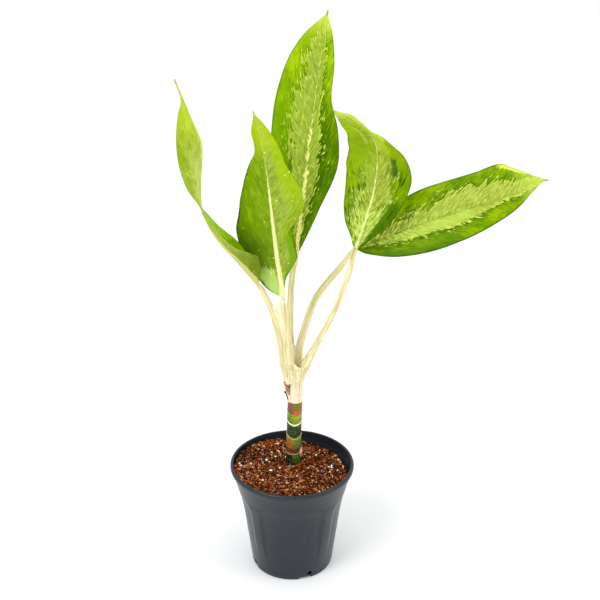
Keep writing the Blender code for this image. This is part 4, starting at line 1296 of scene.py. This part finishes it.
def bundle_limit(centre, way):
    """Distance from a centre along a way to the round outside of the bundle."""
    radius, middle_x = bound_at(centre[2])
    x, y = centre[0] - middle_x, centre[1] - BUNDLE_Y
    a = way[0] ** 2 + way[1] ** 2
    if a < 1e-9:
        return FAR
    b = x * way[0] + y * way[1]
    c = x * x + y * y - radius * radius
    return (-b + math.sqrt(max(b * b - a * c, 0.0))) / a


def stalk_ring(leaf, stations, share):
    """Points of one ring of a stalk, an ellipse kept inside its slice and the bundle."""
    centre = eased(stations, share)
    ahead = ahead_at(stations, share, 0.02)
    upright = np.array((0.0, 0.0, 1.0))
    bent = smooth_step(share, 0.0, 0.25)
    ahead = unit(ahead * bent + upright * (1 - bent))
    middle = math.radians(sum(leaf["wedge"]) / 2)
    out = np.array((math.cos(middle), math.sin(middle), 0.0))
    across = square_to(ahead, unit(np.cross(upright, out)))
    deep = np.cross(across, ahead)
    half = stalk_half_size(leaf, share)
    ring = []
    for k in range(STALK_SIDES):
        angle = math.tau * (k + 0.5) / STALK_SIDES
        way = across * math.cos(angle) + deep * math.sin(angle)
        reach = min(half, slice_limit(centre, way, leaf), bundle_limit(centre, way))
        ring.append((centre + way * reach, (half * math.cos(angle), half * math.sin(angle))))
    return ring


def make_stalk(name, leaf, material):
    """Tube wrapped from a grid, from a slice of the crown to the slim neck under the blade."""
    points = stalk_points(leaf)
    stations = course(points)
    length = course_length(points)
    rings = [stalk_ring(leaf, stations, i / STALK_RINGS) for i in range(STALK_RINGS + 1)]
    bm = grid(STALK_SIDES, STALK_RINGS)
    layer = bm.verts.layers.float_vector.new("skin")
    for vertex in bm.verts:
        column = round((vertex.co.x + 0.5) * STALK_SIDES) % STALK_SIDES
        row = round((vertex.co.y + 0.5) * STALK_RINGS)
        point, (a, b) = rings[row][column]
        vertex[layer] = Vector((a * CM, b * CM, row / STALK_RINGS * length * CM))
        vertex.co = Vector(point) * MM
    bmesh.ops.remove_doubles(bm, verts=bm.verts, dist=0.000001)
    bmesh.ops.holes_fill(bm, edges=[edge for edge in bm.edges if edge.is_boundary], sides=0)
    bmesh.ops.recalc_face_normals(bm, faces=bm.faces)
    add_piece("leaf_stalk_" + name, mesh_from(bm, 50), [material], "stalk_" + name)


def stalk_at(leaf, z):
    """Middle of a stalk at a height."""
    stations = course(stalk_points(leaf))
    low, high = 0.0, 1.0
    for _ in range(24):
        share = (low + high) / 2
        if eased(stations, share)[2] < z:
            low = share
        else:
            high = share
    return eased(stations, low)


def make_web(name, left, right, low, high_left, high_right, sag, forward):
    """Thin wing of a sheath that spans two stalks, with a sagging top edge."""
    rise = max(high_left, high_right) - low
    heights = [low + rise * i / WEB_HEIGHTS for i in range(WEB_HEIGHTS + 1)]
    tracks = [[stalk_at(LEAVES[key], z) for z in heights] for key in (left, right)]
    bm = grid(WEB_COLUMNS, WEB_ROWS)
    for vertex in bm.verts:
        across = vertex.co.x + 0.5
        top = high_left + (high_right - high_left) * across - sag * 4 * across * (1 - across)
        z = low + (top - low) * (vertex.co.y + 0.5)
        i = min(round((z - low) / (heights[-1] - low) * WEB_HEIGHTS), WEB_HEIGHTS)
        point = tracks[0][i] * (1 - across) + tracks[1][i] * across
        bulge = forward * (0.55 + 0.9 * across * (1 - across))
        vertex.co = Vector((point[0], point[1] - bulge, z)) * MM
    web = add_piece(name, mesh_from(bm), [web_finish()])
    give_skin(web, WEB_THICKNESS, 0.0)


def on_bundle(turn, z, off):
    """Point at a height, so far off the bundle's outside, in a direction in degrees."""
    radius, middle_x = bound_at(z)
    angle = math.radians(turn)
    return middle_x + (radius + off) * math.cos(angle), BUNDLE_Y + (radius + off) * math.sin(angle), z


def make_dried_scale():
    """Brown dried scrap of an old sheath that clings to the bundle's left."""
    bm = grid(SCALE_COLUMNS, SCALE_ROWS)
    for vertex in bm.verts:
        across, up = vertex.co.x * 2, vertex.co.y + 0.5
        ragged = noise.noise(Vector((across * 2.2, 3.0, 0.0))) * 2.4
        z = 263.0 + up * (20.0 + ragged - 4.0 * (1 - abs(across)))
        off = 0.35 + 0.5 * up * up + noise.noise(Vector((across * 1.5, up * 2.0, 7.0))) * 0.3
        vertex.co = Vector(on_bundle(232 + across * (9 + 15 * up), z, off)) * MM
    scale = add_piece("dried_scale", mesh_from(bm), [dried_finish()])
    give_skin(scale, SCALE_THICKNESS, 1.0)


def make_dried_strand():
    """Thin dark strand with a knob that runs down to the sheath's foot at the left."""
    f = Finish("dark_strand", 0.6)
    material = f.finish(f.mix(f.noise(f.place(), 500, 2), rgb(20, 16, 14), rgb(60, 44, 34)))
    stations = course([on_bundle(*spot) for spot in STRAND_COURSE])
    bm = grid(STRAND_SIDES, STRAND_ROWS)
    for vertex in bm.verts:
        turn = (vertex.co.x + 0.5) * math.tau
        share = vertex.co.y + 0.5
        ahead = ahead_at(stations, share)
        across = unit(np.cross(ahead, (0.0, 1.0, 0.0)))
        deep = np.cross(across, ahead)
        knob = 0.95 * math.exp(-((share - 0.9) / 0.08) ** 2)
        size = (0.75 + knob) * math.sqrt(max(1 - (2 * share - 1) ** 8, 0.0))
        point = eased(stations, share) + across * size * math.cos(turn) + deep * size * math.sin(turn)
        vertex.co = Vector(point) * MM
    bmesh.ops.remove_doubles(bm, verts=bm.verts, dist=0.000001)
    bmesh.ops.recalc_face_normals(bm, faces=bm.faces)
    add_piece("dried_strand", mesh_from(bm), [material])


# Blades

def blade_row(leaf, rib, share):
    """What all the points of one row across a blade have in common."""
    centre = eased(rib, share)
    ahead = ahead_at(rib, share)
    face = square_to(ahead, eased(leaf["face"], share))
    return {
        "share": share,
        "centre": centre,
        "ahead": ahead,
        "face": face,
        "right": np.cross(ahead, face),
        "sizes": eased(leaf["blade"], share),
        "sweep": eased(leaf["sweep"], share),
    }


def blade_point(leaf, row, across, length):
    """Point of a blade's upper side, with its distance from the rib."""
    share = row["share"]
    left_width, right_width, left_fold, right_fold = row["sizes"]
    left_sweep, right_sweep = row["sweep"]
    if across >= 0:
        side, width, fold, sweep, phase = 1, right_width, right_fold, right_sweep, 0.8
    else:
        side, width, fold, sweep, phase = -1, left_width, left_fold, left_sweep, 2.6
    reach = abs(across)
    slope = math.radians(fold + leaf["curl"] * (reach * 0.5 - 0.35))
    bend = math.radians(leaf["curl"]) * reach * 0.5
    out = reach * math.cos(slope) * math.cos(bend * 0.5)
    rise = reach * math.sin(slope)
    ripple = math.sin(math.tau * WAVES * share + phase)
    wave = leaf["wave"] * reach ** 2 * ripple * math.sin(math.pi * share)
    back = sweep * width * reach ** 1.5
    distance = reach * width
    vein = share * length - back - leaf["slant"] * distance - VEIN_CURVE * distance ** 2
    vein /= VEIN_SPACING * math.hypot(1, leaf["slant"])
    relief = 0.3 * math.cos(math.tau * vein) * smooth_step(distance, 1.0, 8.0)
    relief *= smooth_step(1 - reach, 0.02, 0.3)
    furrow = -0.55 * math.exp(-(distance / 1.7) ** 2) * (1 - share) ** 0.6
    point = row["centre"] + row["right"] * (side * width * out) - row["ahead"] * back
    point = point + row["face"] * (width * rise + wave + relief + furrow)
    return point, side * distance, share * length - back


def make_blade(name, leaf, materials):
    """Waved blade: a grid laid along the rib, thickened downwards, with a raised rib below."""
    rib = course(leaf["rib"])
    length = course_length(leaf["rib"])
    rows = [blade_row(leaf, rib, i / BLADE_ROWS) for i in range(BLADE_ROWS + 1)]
    bm = grid(BLADE_COLUMNS, BLADE_ROWS)
    thickness = bm.verts.layers.deform.new()
    place = bm.verts.layers.float_vector.new("place")
    flat = bm.verts.layers.float_vector.new("flat")
    for vertex in bm.verts:
        even = 2 * round((vertex.co.x + 0.5) * BLADE_COLUMNS) / BLADE_COLUMNS - 1
        across = math.copysign(abs(even) ** 1.35, even)
        row = rows[round((vertex.co.y + 0.5) * BLADE_ROWS)]
        point, out, along = blade_point(leaf, row, across, length)
        spread = 1.2 + 1.4 * (1 - row["share"])
        thick = BLADE_THICKNESS + ((RIB_THICKNESS - BLADE_THICKNESS) * (1 - row["share"]) ** 1.2
                                   * math.exp(-(out / spread) ** 2))
        vertex[thickness][0] = thick / RIB_THICKNESS
        vertex[place] = Vector((across, row["share"], 1.0 if across >= 0 else -1.0))
        vertex[flat] = Vector((out * CM, along * CM, 0))
        vertex.co = Vector(point) * MM
    mesh = thickened(mesh_from(bm), materials)
    mesh.set_sharp_from_angle(angle=math.radians(60))
    add_piece("leaf_" + name, mesh, [], "blade_" + name)


def thickened(sheet, materials):
    """The sheet made solid downwards, by its thickness group, with the second material below."""
    for material in materials:
        sheet.materials.append(material)
    holder = placed("sheet", sheet)
    holder.vertex_groups.new(name="thickness")
    body = holder.modifiers.new("body", "SOLIDIFY")
    body.thickness = RIB_THICKNESS * MM
    body.offset = -1.0
    body.vertex_group = "thickness"
    body.thickness_vertex_group = 0.0
    body.use_even_offset = False
    body.material_offset = 1
    result = as_built(holder)
    bpy.data.objects.remove(holder)
    bpy.data.meshes.remove(sheet)
    return result


# Stage

def make_floor():
    f = Finish("pale_floor", 0.85)
    cloud = f.noise(f.place(), 3, 2)
    material = f.finish(f.mix(cloud, (0.93, 0.935, 0.94), (0.95, 0.955, 0.96)))
    bm = bmesh.new()
    bmesh.ops.create_grid(bm, x_segments=1, y_segments=1, size=FLOOR_HALF)
    mesh = mesh_from(bm)
    mesh.materials.append(material)
    placed("floor", mesh)


def make_camera():
    camera = bpy.data.cameras.new("photo_view")
    camera.lens = CAMERA_LENS
    camera.sensor_width = CAMERA_SENSOR
    view = placed("photo_view", camera)
    view.location = CAMERA_SPOT
    view.rotation_euler = (math.radians(90 - CAMERA_PITCH), 0, 0)
    bpy.context.scene.camera = view


def make_lamp(name, spot, target, size, power):
    lamp = bpy.data.lights.new(name, "AREA")
    lamp.shape = "DISK"
    lamp.size = size
    lamp.energy = power
    holder = placed(name, lamp)
    holder.location = spot
    holder.rotation_euler = (Vector(target) - Vector(spot)).to_track_quat("-Z", "Y").to_euler()


def make_light():
    world = bpy.data.worlds.new("soft_daylight")
    world.use_nodes = True
    sky = world.node_tree.nodes["Background"]
    sky.inputs["Color"].default_value = (0.99, 0.995, 1.0, 1)
    sky.inputs["Strength"].default_value = 1.0
    bpy.context.scene.world = world
    make_lamp("key_lamp", (-1.5, -1.6, 2.4), (0, 0, 0.4), 1.6, 36)
    make_lamp("side_lamp", (1.9, -0.6, 1.6), (0, 0, 0.3), 1.0, 10)
    bpy.context.scene.view_settings.view_transform = "Standard"


make_camera()
make_light()
make_floor()
make_pot()
make_soil()
scatter("coir_granules", GRANULES, GRANULE_SEED, granule_finish(), 0.2, False)
scatter("perlite_bits", PERLITE_BITS, PERLITE_SEED, perlite_finish(), 0.9, True)
make_cane()
make_bud()
for key, leaf in LEAVES.items():
    look = {**BASE_LOOK, "slant": (leaf["slant"], leaf["slant"]), **LOOKS[key]}
    make_stalk(key, leaf, stalk_finish("stalk_skin_" + key, *STALK_TINTS[key]))
    finishes = [leaf_upper_finish("leaf_upper_" + key, look), leaf_under_finish("leaf_under_" + key, look)]
    make_blade(key, leaf, finishes)
for side, web in SHEATH_WEBS.items():
    make_web("sheath_web_" + side, *web)
make_dried_scale()
make_dried_strand()
